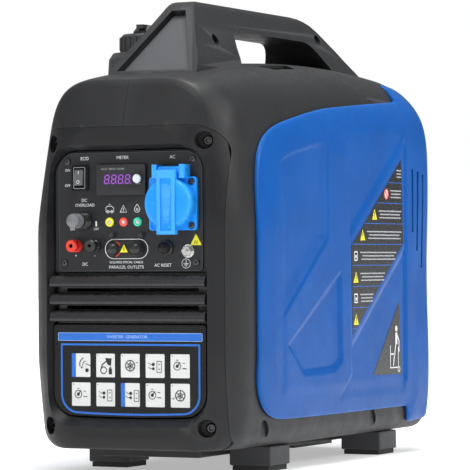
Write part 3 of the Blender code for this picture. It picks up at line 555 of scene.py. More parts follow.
def stations(inset):
    """Depths of the body sections, close together over the rounded ends."""
    front = [END_RADIUS_SIDE * (1 - math.cos(math.radians(90 * k / 15))) for k in range(16)]
    front += [FASCIA_STRAIGHT + FASCIA_TURN * k / 4 for k in range(5)]
    rear = [REAR_RADIUS_TOP * (1 - math.cos(math.radians(90 * k / 15))) for k in range(16)]
    middle = [0.053 + (LENGTH - 0.100) * k / 26 for k in range(27)]
    middle = [d for d in middle if d < LENGTH - REAR_RADIUS_TOP - 0.002]
    return sorted([inset + k for k in front] + middle + [LENGTH - inset - k for k in rear])


def body_form(name, inset):
    return loft(name, [full_section(d, inset) for d in stations(inset)])


def front_prism(name, outline, start, end):
    return loft(name, [[place(x, d, z) for x, z in outline] for d in (start, end)])


def side_prism(name, outline, half_width, centre=0.0):
    return loft(name, [[place(x, d, z) for d, z in outline] for x in (centre - half_width,
                                                                      centre + half_width)])


def top_prism(name, outline, low, high):
    return loft(name, [[place(x, d, z) for x, d in outline] for z in (low, high)])


# ---- Screws ----

def screw_into(bm, x, depth, z, radius, turn=FRONT, height=0.0016, drive="cross"):
    """A pan-head screw whose head stands on the given point, with its drive cut in as facets."""
    matrix = at(x, depth, z, turn)
    edge = radius * 0.30
    arms = 8 if drive == "cross" else 6
    inner = []
    for k in range(arms):
        angle = 2 * math.pi * k / arms
        reach = radius * (0.50 if drive != "cross" or k % 2 == 0 else 0.17)
        inner.append((reach * math.cos(angle), reach * math.sin(angle)))
    sides = 24
    outer = [(radius, -0.0015), (radius, height - edge), (radius * 0.90, height - edge * 0.35),
             (radius * 0.68, height)]
    rings = []
    for r, h in outer:
        rings.append([bm.verts.new(matrix @ Vector((r * math.cos(2 * math.pi * k / sides),
                                                    r * math.sin(2 * math.pi * k / sides),
                                                    h))) for k in range(sides)])
    for a, b in zip(rings, rings[1:]):
        for k in range(sides):
            bm.faces.new((a[k], a[(k + 1) % sides], b[(k + 1) % sides], b[k]))
    bm.faces.new(rings[0])
    mouth = [bm.verts.new(matrix @ Vector((px, py, height))) for px, py in inner]
    floor = [bm.verts.new(matrix @ Vector((px * 0.8, py * 0.8, height - radius * 0.5))) for px, py in inner]
    step = sides // arms
    for k in range(arms):
        ring = [rings[-1][(k * step + j) % sides] for j in range(step + 1)]
        bm.faces.new(ring + [mouth[(k + 1) % arms], mouth[k]])
        bm.faces.new((mouth[k], mouth[(k + 1) % arms], floor[(k + 1) % arms], floor[k]))
    bm.faces.new(floor)


def screw(name, x, depth, z, radius, turn=FRONT, mat=DARK_STEEL, drive="cross", body="housing"):
    bm = bmesh.new()
    screw_into(bm, x, depth, z, radius, turn, drive=drive)
    return piece(object_from(name, bm), mat, body, angle=25)


# ---- Handle ----

def handle_form():
    profile = [FACET_LOW, FACET_HIGH, (0.128, 0.4548), (0.134, 0.456), (0.352, 0.456), (0.366, 0.4551),
               (0.380, 0.4527), (0.392, 0.449), (0.404, 0.4430), (0.416, 0.4350), (0.430, 0.4245),
               (0.462, 0.397),
               (0.462, 0.370), (0.060, 0.362)]
    item = side_prism("handle_form", profile, HANDLE_HALF)
    right = [(0.0500, 0.360), (0.0488, 0.376), (0.0460, 0.389), (0.0405, 0.401), (0.0340, 0.412),
             (0.0225, 0.434),
             (0.0150, 0.450), (0.0120, 0.4545), (0.0090, 0.4565)]
    across = right + [(-x, z) for x, z in reversed(right)]
    keep(item, front_prism("handle_taper", across, 0.04, 0.48))
    window = [(0.157, 0.370), (0.1855, 0.4245), (0.1875, 0.4278), (0.192, 0.430), (0.352, 0.430),
              (0.360, 0.4292),
              (0.367, 0.4270), (0.373, 0.4238), (0.379, 0.4190), (0.385, 0.4130), (0.391, 0.4055),
              (0.396, 0.3965),
              (0.402, 0.370)]
    cut(item, side_prism("handle_window", window, HANDLE_HALF + 0.02))
    cut(item, rod("collar_room", 0.0446, 0.1, at(FILLER[0], FILLER[1], 0.400, UP), 48))
    return soften(item, 0.0042, 4, 24)


def facet_matrix():
    """Local x across, y up the handle's front facet, z out of it."""
    low = place(0, *FACET_LOW)
    up = (place(0, *FACET_HIGH) - low).normalized()
    across = Vector((1, 0, 0))
    return axes_at(low, across, up, across.cross(up))


def badge_outline(margin):
    foot, peak = 0.0395 - 1.3 * margin, 0.0075 - 0.4 * margin
    return [(-foot, 0.006 + margin), (foot, 0.006 + margin), (peak, 0.088 - margin),
            (-peak, 0.088 - margin)]


def frame_outline(grow):
    width = 2 * (FRAME_HALF + grow)
    height = FRAME_TOP + grow - FRAME_LOW
    return rounded(width, height, 0.028, 10, 0.008, (0.0, FRAME_LOW + height / 2))


def rear_outline(grow):
    return rounded(2 * (0.084 + grow), 0.285 + 2 * grow, 0.02 + grow, 8, None, (0.0, 0.1925))


def hatch_outline(shrink):
    return [(0.054 + shrink, 0.309 + shrink), (0.072 - shrink / 2, 0.309 + shrink),
            (0.101 - shrink, 0.340 + shrink / 2), (0.101 - shrink, 0.402 - shrink),
            (0.054 + shrink, 0.402 - shrink)]


TRAY = [(0.0545, 0.176), (0.0700, 0.186), (0.0700, 0.236), (0.0545, 0.246)]        # x and depth
LOW_WELLS = ((0.080, 0.0415), (0.330, 0.0405))                                     # depth and z


def well_cutters(side, sign):
    bm = bmesh.new()
    for depth, z in ((0.137, 0.4176), (0.396, 0.434)):
        plug_into(bm, 0.006, 0.03, -0.03, at(sign * 0.040, depth, z, RIGHT), 28)
    for depth, z in LOW_WELLS:
        reach = side_x(depth, z, 0.0) - 0.0022
        oval = [(0.0105 * px, 0.0078 * py) for px, py in arc(0, 0, 1.0, 0, 345, 23)]
        prism_into(bm, oval, 0.02,
                   at(sign * reach, depth, z, RIGHT if sign > 0 else LEFT) @ Matrix.Rotation(0.5, 4, "Z"))
    return object_from(f"wells_{side}", bm)


def shell(side, sign):
    """One clamshell half with its half of the handle."""
    item = body_form(f"shell_{side}", 0.0)
    join(item, handle_form())
    recess = prism("badge_recess", badge_outline(0.0), 0.03,
                   facet_matrix() @ Matrix.Translation((0, 0, -0.009)))
    cut(item, body_form("hollow", WALL))
    cut(item, block("half", (0.2, 0.6, 0.6), (sign * (GAP / 2 - 0.1), LENGTH / 2, 0.25)))
    cut(item, front_prism("frame_zone", frame_outline(GAP), -0.02, FRAME_DEPTH + 0.004),
        front_prism("rear_zone", rear_outline(GAP), LENGTH - 0.035, LENGTH + 0.02), recess,
        well_cutters(side, sign))
    if side == "right":
        cut(item, top_prism("hatch_zone", hatch_outline(0.0), 0.30, 0.43),
            top_prism("tray_zone", TRAY, 0.3865, 0.43))
    else:
        cut(item, rod("filler_hole", 0.030, 0.2, at(*FILLER, 0.44, UP)),
            block("starter_hole", STARTER_HOLE, (-0.115, ROPE_DEPTH, STARTER_Z)))
    soften(item, 0.0007, 2, 50)
    return piece(item, CHARCOAL, stands_for=(f"{side}_shell",), angle=28)


shell("right", 1)
shell("left", -1)

hatch = top_prism("hatch_visual", hatch_outline(GAP), 0.31, 0.42)
keep(hatch, body_form("outer", 0.0))
cut(hatch, body_form("hollow", WALL))
soften(hatch, 0.0006, 2, 50)
piece(hatch, CHARCOAL, stands_for=("spark_plug_hatch",), angle=28)

rear = front_prism("rear_visual", rear_outline(0.0), LENGTH - 0.035, LENGTH + 0.01)
keep(rear, body_form("outer", 0.0))
cut(rear, body_form("hollow", WALL))
REAR_SLOTS = [0.105, 0.119, 0.133, 0.255, 0.269, 0.283, 0.297]
cut(rear, blocks("rear_slots", [((0.11, 0.06, 0.005), (0, LENGTH, z)) for z in REAR_SLOTS]),
    rod("tail_hole", 0.0155, 0.08, at(0, LENGTH, 0.200), 36))
soften(rear, 0.0008, 2, 45)
piece(rear, CHARCOAL, stands_for=("rear_panel",))

badge = prism("badge_visual", badge_outline(0.0006), 0.0025,
              facet_matrix() @ Matrix.Translation((0, 0, -0.0087)))
soften(badge, 0.0006, 2)
piece(badge, BADGE_GREY, stands_for=("badge_plate",))


# ---- Front frame ----

def front_depth(x, z):
    """Depth of the body's front skin at this place of the front view."""
    low, high = 0.0, END_RADIUS_SIDE
    for _ in range(26):
        middle = (low + high) / 2
        _, top, bottom = body_frame(middle, 0.0)
        if bottom <= z <= top and abs(x) <= side_x(middle, z, 0.0):
            high = middle
        else:
            low = middle
    return high


def long_outline(half, low, high, top_radius, low_radius, bow=0.0, corner=10, across=16, down=30):
    """Rounded outline with evenly divided sides, so that outlines of different size match point by point."""
    points = arc(half - top_radius, high - top_radius, top_radius, 0, 90, corner)
    points += [(half - top_radius - (2 * half - 2 * top_radius) * k / across, high) for k in range(1,
                                                                                                   across)]
    points += arc(top_radius - half, high - top_radius, top_radius, 90, 180, corner)
    points += [(-half, high - top_radius - (high - low - top_radius - low_radius) * k / down)
               for k in range(1, down)]
    points += arc(low_radius - half, low + low_radius, low_radius, 180, 270, corner)
    points += [(low_radius - half + (2 * half - 2 * low_radius) * k / across, low) for k in range(1,
                                                                                                  across)]
    points += arc(half - low_radius, low + low_radius, low_radius, 270, 360, corner)
    points += [(half, low + low_radius + (high - low - top_radius - low_radius) * k / down)
               for k in range(1, down)]

    def bowed(x, z):
        near = max(0.0, 1 - (z - low) / 0.03)
        return x, z - bow * near * (1 - (x / half) ** 2)

    return [bowed(x, z) for x, z in points]


def well_facing(x):
    """Corner wells turn a little outwards on either side of the front."""
    return Matrix.Rotation(WELL_TURN * (1 if x > 0 else -1), 4, "Z") @ FRONT


def front_frame():
    item = front_prism("frame_visual", frame_outline(0.0), -0.01, FRAME_DEPTH)
    keep(item, body_form("outer", 0.0))
    rings = ((-0.0100, 0.0122, -0.0059, 0.0030), (0.0135, 0.0, 0.0, 0.0), (0.0600, 0.0, 0.0, 0.0))
    sections = []
    for depth, wider, lower, higher in rings:
        outline = long_outline(THROAT_HALF + wider, 0.0560 + 2.2 * lower, 0.3080 + 2.0 * higher,
                               0.0240 + wider / 2,
                               0.0220 + wider / 2, 0.0022 + wider / 8)
        sections.append([place(x, depth, z) for x, z in outline])
    cut(item, loft("recess_room", sections))
    soften(item, 0.0012, 3, 24)
    wells = bmesh.new()
    for x, z in CORNER_WELLS:
        deep = [(0, 0.020), (0.0104, 0.020), (0.0094, 0.0012), (0.0086, 0.0), (0.0072, -0.0110),
                (0, -0.0110)]
        turned_into(wells, deep, at(x, front_depth(abs(x), z) - 0.0004, z, well_facing(x)), 40)
    cut(item, object_from("frame_wells", wells))
    return piece(item, FACIA, stands_for=("front_frame",), angle=30)


front_frame()
for index, (wx, wz) in enumerate(CORNER_WELLS):
    screw(f"screw_frame_{index + 1}", wx * 0.99, front_depth(abs(wx), wz) + 0.0098, wz, 0.0052,
          well_facing(wx), drive="hex")


# ---- Side covers ----

COVER_TOP_LINE = ((0.0560, 0.2250), (0.0580, 0.2520), (0.0612, 0.2740), (0.0700, 0.3020), (0.0872, 0.3215),
                  (0.1208, 0.3348), (0.2021, 0.3498), (0.2751, 0.3570), (0.4070, 0.3670), (0.4300, 0.3690))
COVER_BASE_LINE = ((0.0560, 0.0960), (0.0585, 0.0820), (0.0655, 0.0690), (0.0780, 0.0580), (0.0983, 0.0518),
                   (0.1300, 0.0503), (0.4300, 0.0498))
STEP_TOP = ((0.4126, 0.3672), (0.4150, 0.3780), (0.4178, 0.3850), (0.4260, 0.3862), (0.4500, 0.3835),
            (0.4760, 0.3760))
STEP_BASE = ((0.4126, 0.0499), (0.4150, 0.0400), (0.4178, 0.0336), (0.4400, 0.0335), (0.4760, 0.0360))


def along_line(line, value):
    """Smooth height of a line of (depth, height) points at a depth."""
    for k in range(len(line) - 1):
        if value <= line[k + 1][0] or k == len(line) - 2:
            break
    (x0, y0), (x1, y1) = line[k], line[k + 1]

    def slope(j):
        low, high = max(j - 1, 0), min(j + 1, len(line) - 1)
        return (line[high][1] - line[low][1]) / (line[high][0] - line[low][0])

    span = x1 - x0
    t = (value - x0) / span
    return ((2 * t ** 3 - 3 * t ** 2 + 1) * y0 + (t ** 3 - 2 * t ** 2 + t) * span * slope(k)
            + (3 * t ** 2 - 2 * t ** 3) * y1 + (t ** 3 - t ** 2) * span * slope(k + 1))


def cover_top(depth):
    return along_line(COVER_TOP_LINE if depth < STEP_TOP[0][0] else STEP_TOP, depth)


def cover_base(depth):
    return along_line(COVER_BASE_LINE if depth < STEP_BASE[0][0] else STEP_BASE, depth)


def eased(value, low, high):
    share = np.clip((value - low) / (high - low), 0.0, 1.0)
    return share * share * (3 - 2 * share)


def beyond(d, z, start, end):
    """Signed distance from the line through start and end, positive on its left."""
    along = (end[0] - start[0], end[1] - start[1])
    return (along[0] * (z - start[1]) - along[1] * (d - start[0])) / math.hypot(*along)


def inside_of(d, z, corners):
    """Distance inside a convex outline listed counter-clockwise, negative outside."""
    return np.minimum.reduce([beyond(d, z, a, b) for a, b in zip(corners, corners[1:] + corners[:1])])


def edge_distance(d, z):
    """Distance from the cover's outline, as if the rear corner ran on past the end."""
    steps = [COVER_FRONT + 0.0001 + 0.42 * (k / 150) ** 1.5 for k in range(151)]
    upper = [(s, cover_top(s)) for s in steps]
    lower = [(s, cover_base(s)) for s in steps]
    line = list(reversed(upper)) + lower
    best = np.full(d.shape, 1.0)
    for (ax, ay), (bx, by) in zip(line, line[1:]):
        run, rise = bx - ax, by - ay
        share = np.clip(((d - ax) * run + (z - ay) * rise) / max(run * run + rise * rise, 1e-12), 0.0, 1.0)
        best = np.minimum(best, np.hypot(d - ax - share * run, z - ay - share * rise))
    return best


DROP = [(0.1105, 0.1214), (0.1493, 0.0904), (0.2203, 0.0917), (0.2398, 0.1010), (0.2373, 0.1924)]
BAR = [(0.2590, 0.2235), (0.2590, 0.1180), (0.3990, 0.2165), (0.3990, 0.3220)]
BEVEL_REACH = 0.031
RIDGE = ((0.2535, 0.330), (0.2620, 0.085))         # folds of the cover, as lines of (depth, height)
CHAMFER = ((0.2251, 0.3290), (0.2600, 0.3120))
LOW_CORNER = ((0.2324, 0.0640), (0.2650, 0.0900))
KNEE_DEPTH, KNEE_Z = 0.206, 0.2250                 # where the raised panel's slanting edge turns upright
SLANT = ((0.110, 0.1560), (KNEE_DEPTH, KNEE_Z))
GROOVE_DEPTH = 0.4035


def relief(d, z, plain=False):
    """Height of the cover's face over the body skin, on arrays of depths and heights."""
    edge = edge_distance(d, z)
    level = COVER_EDGE + 0.0012 * np.sqrt(np.clip(edge / 0.0030, 0.0, 1.0))
    share = np.clip(edge / BEVEL_REACH, 0.0, 1.0)
    level = level + 0.0027 * share * (1.40 - 0.40 * share)
    rear_end = np.clip((COVER_REAR - d) / 0.020, 0.0, 1.0)
    level = level * (0.55 + 0.45 * np.sqrt(1 - (1 - rear_end) ** 2))
    if plain:
        return level
    ridge = beyond(d, z, *RIDGE)
    chamfer = beyond(d, z, *CHAMFER)
    corner = beyond(d, z, *LOW_CORNER)
    front_side = np.minimum(np.minimum(-ridge, -chamfer), corner)
    rear_side = eased(-front_side, -0.0008, 0.0028)
    slope = eased(0.348 - z, 0.0, 0.028) * eased(z - 0.060, 0.0, 0.014) * eased(0.402 - d, -0.004, 0.004)
    panel = eased(edge, BEVEL_REACH - 0.001, BEVEL_REACH + 0.001) * (1 - rear_side)
    within = np.where(z > KNEE_Z, d - KNEE_DEPTH, -beyond(d, z, *SLANT))
    within = np.where((z <= KNEE_Z) & (d > KNEE_DEPTH), 0.02, within)
    fade = eased(0.322 - z, 0.0, 0.014) * eased(z - 0.070, 0.0, 0.010) * eased(d - 0.100, 0.0, 0.012)
    climb = np.clip((d - KNEE_DEPTH) / 0.048, 0.0, 1.0)
    level = level - 0.0007 * panel * (1 - eased(within, -0.020, 0.0)) * fade
    level = level + 0.0009 * eased(within, 0.0, 0.0030) * fade * (1 - rear_side)
    level = level + 0.0009 * climb * fade * (1 - rear_side)
    level = level - 0.0028 * eased(inside_of(d, z, DROP), 0.0, 0.0055)
    level = level - 0.0010 * rear_side * slope
    level = level + 0.0020 * eased(inside_of(d, z, BAR), -0.0075, 0.0) * rear_side * slope
    groove = eased(0.0050 - np.abs(d - GROOVE_DEPTH), 0.0,
                   0.0040) * eased(z - 0.074, 0.0, 0.008) * eased(0.330 - z, 0.0, 0.012)
    level = level - 0.0024 * groove
    level = level + 0.0009 * np.sin((z - 0.05) * 34.0) * eased(d, COVER_STEP + 0.004, COVER_STEP + 0.03)
    return level


def side_cover(name, sign, plain):
    """The cover's skin: a fine grid of heights over the body, with its thickness behind it."""
    count = 160
    shares = [0.0, 0.0025] + [k / count for k in range(1, count)] + [0.9975, 1.0]
    depths = [COVER_FRONT + 0.0003, COVER_FRONT + 0.0010, COVER_FRONT + 0.0022, COVER_FRONT + 0.0038]
    depths += [COVER_FRONT + 0.0038 + 0.00232 * k for k in range(1, 152)]
    depths = [d for d in depths if d < 0.4120] + [0.4130, 0.4140, 0.4152, 0.4165, 0.4180]
    depths += [0.4180 + 0.0023 * k for k in range(1, 25)] + [0.4745, COVER_REAR]
    lows = [cover_base(d) for d in depths]
    highs = [cover_top(d) for d in depths]
    heights = np.array([[low + (high - low) * s for s in shares] for low, high in zip(lows, highs)])
    faces = relief(np.repeat(np.array(depths)[:, None], len(shares), 1), heights, plain)
    sections = []
    for depth, row, rise in zip(depths, heights, faces):
        skin = [side_x(depth, z, GAP) for z in row]
        outer = [place(sign * (x + r), depth, z) for x, r, z in zip(skin, rise, row)]
        inner = [place(sign * (x + 0.0001), depth, z) for x, z in list(zip(skin, row))[::-10]]
        sections.append(outer + inner)
    item = loft(name, sections)
    slots = [((0.08, 0.0045, high - low), (sign * 0.12, depth, (high + low) / 2))
             for depth, low, high in ((0.424, 0.231, 0.297), (0.437, 0.212, 0.295), (0.450, 0.194, 0.292))]
    return cut(item, blocks(f"{name}_slots", slots))


piece(side_cover("cover_right", 1, False), ROYAL, stands_for=("right_side_cover",),
      angle=40)


def dress(mat, *names, bevel=0.0):
    """Finish CAD nodes that are shown as they are."""
    for name in names:
        item = NODES[name]
        item.data.materials.clear()
        item.data.materials.append(mat)
        if bevel:
            mod = item.modifiers.new("edges", "BEVEL")
            mod.width = bevel
            mod.segments = 3
            mod.limit_method = "ANGLE"
            mod.angle_limit = math.radians(35)
            mod.harden_normals = False
            item.modifiers.new("even_normals", "WEIGHTED_NORMAL")


DOOR = (0.300, 0.185, 0.130, 0.190)        # depth, height, length and height of the maintenance door
KNOB_Z = 0.105
left_cover = side_cover("cover_left", -1, True)
cut(left_cover, block("starter_gap", STARTER_HOLE, (-0.115, ROPE_DEPTH, STARTER_Z)),
    block("door_gap", (0.05, DOOR[2] + 2 * GAP, DOOR[3] + 2 * GAP), (-0.125, DOOR[0], DOOR[1])),
    rod("knob_dish", 0.0200, 0.05, at(-0.125, ROPE_DEPTH, KNOB_Z, LEFT), 48))
piece(left_cover, ROYAL, stands_for=("left_side_cover",), angle=40)


# ---- Flat marks ----

INK = 0.00012
STROKE = 0.0005


def hoop_into(bm, outer, inner, thickness, matrix):
    """A flat ring between two outlines with the same number of points."""
    rings = []
    for outline, h in ((outer, 0.0), (outer, thickness), (inner, thickness), (inner, 0.0)):
        rings.append([bm.verts.new(matrix @ Vector((x, y, h))) for x, y in outline])
    for a, b in zip(rings, rings[1:] + rings[:1]):
        for k in range(len(a)):
            bm.faces.new((a[k], a[(k + 1) % len(a)], b[(k + 1) % len(b)], b[k]))


def line_into(bm, points, width, thickness, matrix):
    """A flat stroke of even width along a line of points."""
    sections = []
    for k, (x, y) in enumerate(points):
        before, after = points[max(k - 1, 0)], points[min(k + 1, len(points) - 1)]
        run = Vector((after[0] - before[0], after[1] - before[1])).normalized() * width / 2
        left, right = (x - run.y, y + run.x), (x + run.y, y - run.x)
        corners = ((left, 0.0), (left, thickness), (right, thickness), (right, 0.0))
        sections.append([matrix @ Vector((*p, h)) for p, h in corners])
    loft_into(bm, sections)


def circle(cx, cy, radius, steps=24):
    return arc(cx, cy, radius, 0, 360 - 360 / steps, steps - 1)


def fill(outline):
    return "fill", outline


def line(points, width=STROKE):
    return "line", points, width


def hoop(outer, inner):
    return "hoop", outer, inner


def round_hoop(cx, cy, radius, width=STROKE, steps=28):
    return hoop(circle(cx, cy, radius, steps), circle(cx, cy, radius - width, steps))


def bar(cx, cy, width, height):
    return fill([(cx - width / 2, cy - height / 2), (cx + width / 2, cy - height / 2),
                 (cx + width / 2, cy + height / 2), (cx - width / 2, cy + height / 2)])


def drawn(name, shapes, mat, matrix, body="housing", thickness=INK):
    """Flat marks on a surface whose local Z points outwards."""
    bm = bmesh.new()
    for kind, *values in shapes:
        if kind == "fill":
            prism_into(bm, values[0], thickness, matrix)
        elif kind == "line":
            line_into(bm, values[0], values[1], thickness, matrix)
        else:
            hoop_into(bm, values[0], values[1], thickness, matrix)
    return piece(object_from(name, bm), mat, body=body)


def word(name, text, size, x, z, depth, mat=INK_WHITE, body="housing"):
    """A generic word or sign, cut from the built-in letter shapes."""
    curve = bpy.data.curves.new(name, "FONT")
    curve.body = text
    curve.size = size
    curve.align_x = "CENTER"
    curve.align_y = "CENTER"
    curve.extrude = INK
    curve.resolution_u = 3
    maker = linked(f"{name}_letters", curve)
    bpy.context.view_layer.update()
    mesh = bpy.data.meshes.new_from_object(maker.evaluated_get(bpy.context.evaluated_depsgraph_get()))
    bpy.data.objects.remove(maker, do_unlink=True)
    mesh.transform(at(x, depth, z))
    return piece(linked(name, mesh), mat, body=body)


# ---- Control plate ----

PLATE_Z = 0.2495
ECO = (-0.0527, 0.2816)            # places of the controls, x and z
SOCKET = (0.0476, 0.2559)
BREAKER = (-0.0490, 0.2406)
RESET = (0.0387, 0.2144)
GROUND = (0.0618, 0.2114)
LAMP_X, LAMP_Z = (-0.0213, -0.0063, 0.0086), 0.2393
JACK_X, JACK_Z = (-0.0569, -0.0369), 0.2170
PARALLEL_X, PARALLEL_Z = (-0.0160, 0.0085), 0.2138
HOLES = ((*SOCKET, 0.0222), (*BREAKER, 0.0072), *[(x, LAMP_Z, 0.0026) for x in LAMP_X],
         *[(x, JACK_Z, 0.0048) for x in JACK_X], *[(x, PARALLEL_Z, 0.0045) for x in PARALLEL_X],
         (*RESET, 0.0062), (*GROUND, 0.0028))
PLATE_SCREWS = ((-0.0668, 0.2975), (0.0668, 0.2975), (-0.0702, 0.2010), (0.0702, 0.2010))
FACE = PLATE_DEPTH - GAP


def control_plate():
    item = prism("plate_visual", rounded(0.1622, 0.1150, 0.0240, 12, 0.002), 0.0015,
                 at(0, PLATE_DEPTH + 0.003, PLATE_Z))
    raised = prism("plate_raised", rounded(0.1536, 0.1128, 0.0185, 12, 0.004), 0.0016,
                   at(0, PLATE_DEPTH + 0.0016, PLATE_Z - 0.0004))
    join(item, raised)
    bm = bmesh.new()
    for x, z, radius in HOLES:
        plug_into(bm, radius, 0.015, -0.015, at(x, PLATE_DEPTH, z), 36)
    windows = blocks("windows", [((0.0130, 0.03, 0.0200), (ECO[0], PLATE_DEPTH, ECO[1])),
                                 ((0.0450, 0.03, 0.0220), (-0.0080, PLATE_DEPTH, 0.2794))])
    cut(item, object_from("round_holes", bm), windows)
    soften(item, 0.0004, 2, 40)
    piece(item, PANEL, stands_for=("control_plate",))
    # The thin pale line along the raised plate's edge is a painted highlight of that edge.
    edge = hoop(rounded(0.1530, 0.1122, 0.0182, 12, 0.004), rounded(0.1524, 0.1116, 0.0179, 12, 0.0037))
    drawn("plate_edge_highlight", [edge], PLATE_HIGHLIGHT_GREY, at(0, PLATE_DEPTH, PLATE_Z - 0.0004), thickness=0.00005)
    for index, (x, z) in enumerate(PLATE_SCREWS):
        screw(f"screw_plate_{index + 1}", x, PLATE_DEPTH, z, 0.0034, mat=DARK_STEEL)


def panel_marks():
    front = at(0, PLATE_DEPTH, 0)
    for name, text, size, x, z in (
            ("eco", "ECO", 0.0044, -0.0483, 0.2998), ("meter", "METER", 0.0044, -0.0074, 0.3001),
            ("ac", "AC", 0.0044, 0.0456, 0.2998), ("eco_on", "ON", 0.0034, -0.0668, 0.2890),
            ("eco_off", "OFF", 0.0034, -0.0668, 0.2745), ("dc", "DC", 0.0042, -0.0488, 0.2602),
            ("overload", "OVERLOAD", 0.0040, -0.0483, 0.2556), ("boot_on", "ON", 0.0032, -0.0618, 0.2328),
            ("boot_off", "OFF", 0.0032, -0.0361, 0.2328), ("plus", "+", 0.0046, -0.0582, 0.2075),
            ("minus", "-", 0.0046, -0.0378, 0.2078), ("dc_low", "DC", 0.0042, -0.0483, 0.1995),
            ("cables", "REQUIRES SPECIAL CABLES", 0.0030, -0.0040, 0.2012),
            ("outlets", "PARALLEL OUTLETS", 0.0042, -0.0040, 0.1966),
            ("reset", "AC RESET", 0.0042, 0.0350, 0.1982)):
        word(f"word_{name}", text, size, x, z, PLATE_DEPTH, INK_WHITE)
    pill = rounded(0.0460, 0.0189, 0.0094, 12, None, (-0.0037, 0.2138))
    inner = rounded(0.0448, 0.0177, 0.0088, 12, None, (-0.0037, 0.2138))
    x, z = 0.0593, 0.1998
    engine = [line([(-0.0255, 0.2494), (-0.0255, 0.2530), (-0.0238, 0.2544), (-0.0195, 0.2544),
                    (-0.0172, 0.2526),
                    (-0.0172, 0.2494), (-0.0255, 0.2494)]), round_hoop(-0.0234, 0.2492, 0.0014), line([
                        (-0.0226, 0.2562), (-0.0206, 0.2562)]), round_hoop(-0.0192, 0.2492, 0.0014)]
    warning = [line([(-0.0104, 0.2486), (-0.0068, 0.2552), (-0.0032, 0.2486), (-0.0104, 0.2486)]),
               bar(-0.0068, 0.2515, 0.0005, 0.0026), bar(-0.0068, 0.2494, 0.0006, 0.0006)]
    drop = [line([(0.0078, 0.2560)] + arc(0.0078, 0.2512, 0.0029, 40, -220, 16) + [(0.0078, 0.2560)]),
            round_hoop(0.0078, 0.2511, 0.0013)]
    earth = [round_hoop(x, z, 0.0046, 0.0004), line([(x, z + 0.0034), (x, z)]), bar(x, z, 0.0056, 0.0005),
             bar(x, z - 0.0012, 0.0038, 0.0005), bar(x, z - 0.0024, 0.0020, 0.0005)]
    key = [fill(circle(-0.0361, 0.2396, 0.0009, 12)), bar(-0.0361, 0.2372, 0.0016, 0.0034)]
    drawn("panel_signs", [hoop(pill, inner)] + engine + warning + drop + earth + key, INK_WHITE, front)

    def triangle(cx, cy, half, height):
        return [(cx - half, cy - height / 2), (cx + half, cy - height / 2), (cx, cy + height / 2)]

    drawn("panel_triangles", [fill(triangle(0.0698, 0.2222, 0.0060, 0.0106))], INK_YELLOW, front)
    bolts = [line([(0.0686, 0.2212), (0.0692, 0.2200), (0.0682, 0.2196), (0.0688, 0.2180)], 0.0007),
             line([(0.0708, 0.2212), (0.0714, 0.2200), (0.0704, 0.2196), (0.0710, 0.2180)], 0.0007)]
    drawn("panel_bolts", bolts, INK_BLACK, at(0, PLATE_DEPTH - INK, 0))


# ---- Switch, meter and lamps ----

def seven_segments(cx, cy, width, height):
    """All strokes of one digit, slightly slanted, with its point."""
    w, h, gap = width / 2, height / 2, 0.0005

    def slanted(points):
        return [(cx + x + y * 0.14, cy + y) for x, y in points]

    strokes = [[(-w + gap, h), (w - gap, h)], [(-w + gap, 0), (w - gap, 0)],
               [(-w + gap, -h), (w - gap, -h)],
               [(-w, gap), (-w, h - gap)], [(w, gap), (w, h - gap)], [(-w, -h + gap), (-w, -gap)],
               [(w, -h + gap), (w, -gap)]]
    return [line(slanted(s), 0.0010) for s in strokes] + [fill(circle(cx + w + 0.0008, cy - h, 0.0005, 8))]


METER_FACE = FACE - 0.003


def switch_and_meter():
    dress(GLOSS_BLACK, "eco_switch_body", bevel=0.0005)
    dress(METER_GREY, "meter_body", bevel=0.0005)
    dress(ROCKER_GREY, "eco_rocker", bevel=0.0008)
    dress(BUTTON_WHITE, "meter_button", bevel=0.0004)
    outline = hoop(rounded(0.0126, 0.0204, 0.0010, 4), rounded(0.0117, 0.0195, 0.0007, 4))
    drawn("eco_outline", [outline], INK_GREY, at(ECO[0], FACE - 0.0025, ECO[1]))
    drawn("rocker_marks", [bar(0, 0.0046, 0.0007, 0.0030), round_hoop(0, -0.0044, 0.0017, 0.0005, 20)],
          INK_WHITE,
          Matrix.Translation(place(ECO[0], 0.0136, ECO[1])) @ Matrix.Rotation(math.radians(-8), 4, "X")
          @ Matrix.Translation((0, -0.0038, 0)) @ FRONT, "eco_rocker")
    drawn("display_glass", [fill(rounded(0.0330, 0.0112, 0.0006, 3))], DISPLAY,
          at(-0.0090, METER_FACE, 0.2797))
    digits = []
    for k in range(4):
        digits += seven_segments(-0.0226 + 0.0074 * k, 0.2797, 0.0044, 0.0078)
    drawn("display_digits", digits, DIGIT, at(0, METER_FACE - INK, 0))
    word("word_values", "VOLTS  HERTZ  HOURS", 0.0024, -0.0165, 0.2894, METER_FACE, INK_GREY)
    word("word_mode", "MODE", 0.0018, 0.0107, 0.2752, METER_FACE, INK_GREY)
    for x, (name, mat) in zip(LAMP_X, (("yellow", YELLOW_LENS), ("red", RED_LENS), ("green", GREEN_LENS))):
        ring = turned(f"lamp_ring_{name}",
                      [(0.0021, 0.0012), (0.0030, 0.0019), (0.0040, 0.0015), (0.0044, 0.0006),
                                            (0.0044, 0.0), (0.0021, 0.0)], at(x, FACE, LAMP_Z), 36)
        piece(ring, mat, stands_for=(f"lamp_{name}",))
        core = turned(f"lamp_core_{name}",
                      [(0, 0.0016), (0.0012, 0.0014), (0.0021, 0.0008), (0.0021, 0), (0, 0)],
                      at(x, FACE, LAMP_Z), 24)
        piece(core, LENS_CORE)


# ---- Outlet ----

SOCKET_PLATE = 0.0037              # thickness of the socket's square flange
HINGE_Z = SOCKET[1] + 0.0310
HINGE_DEPTH = 0.0060


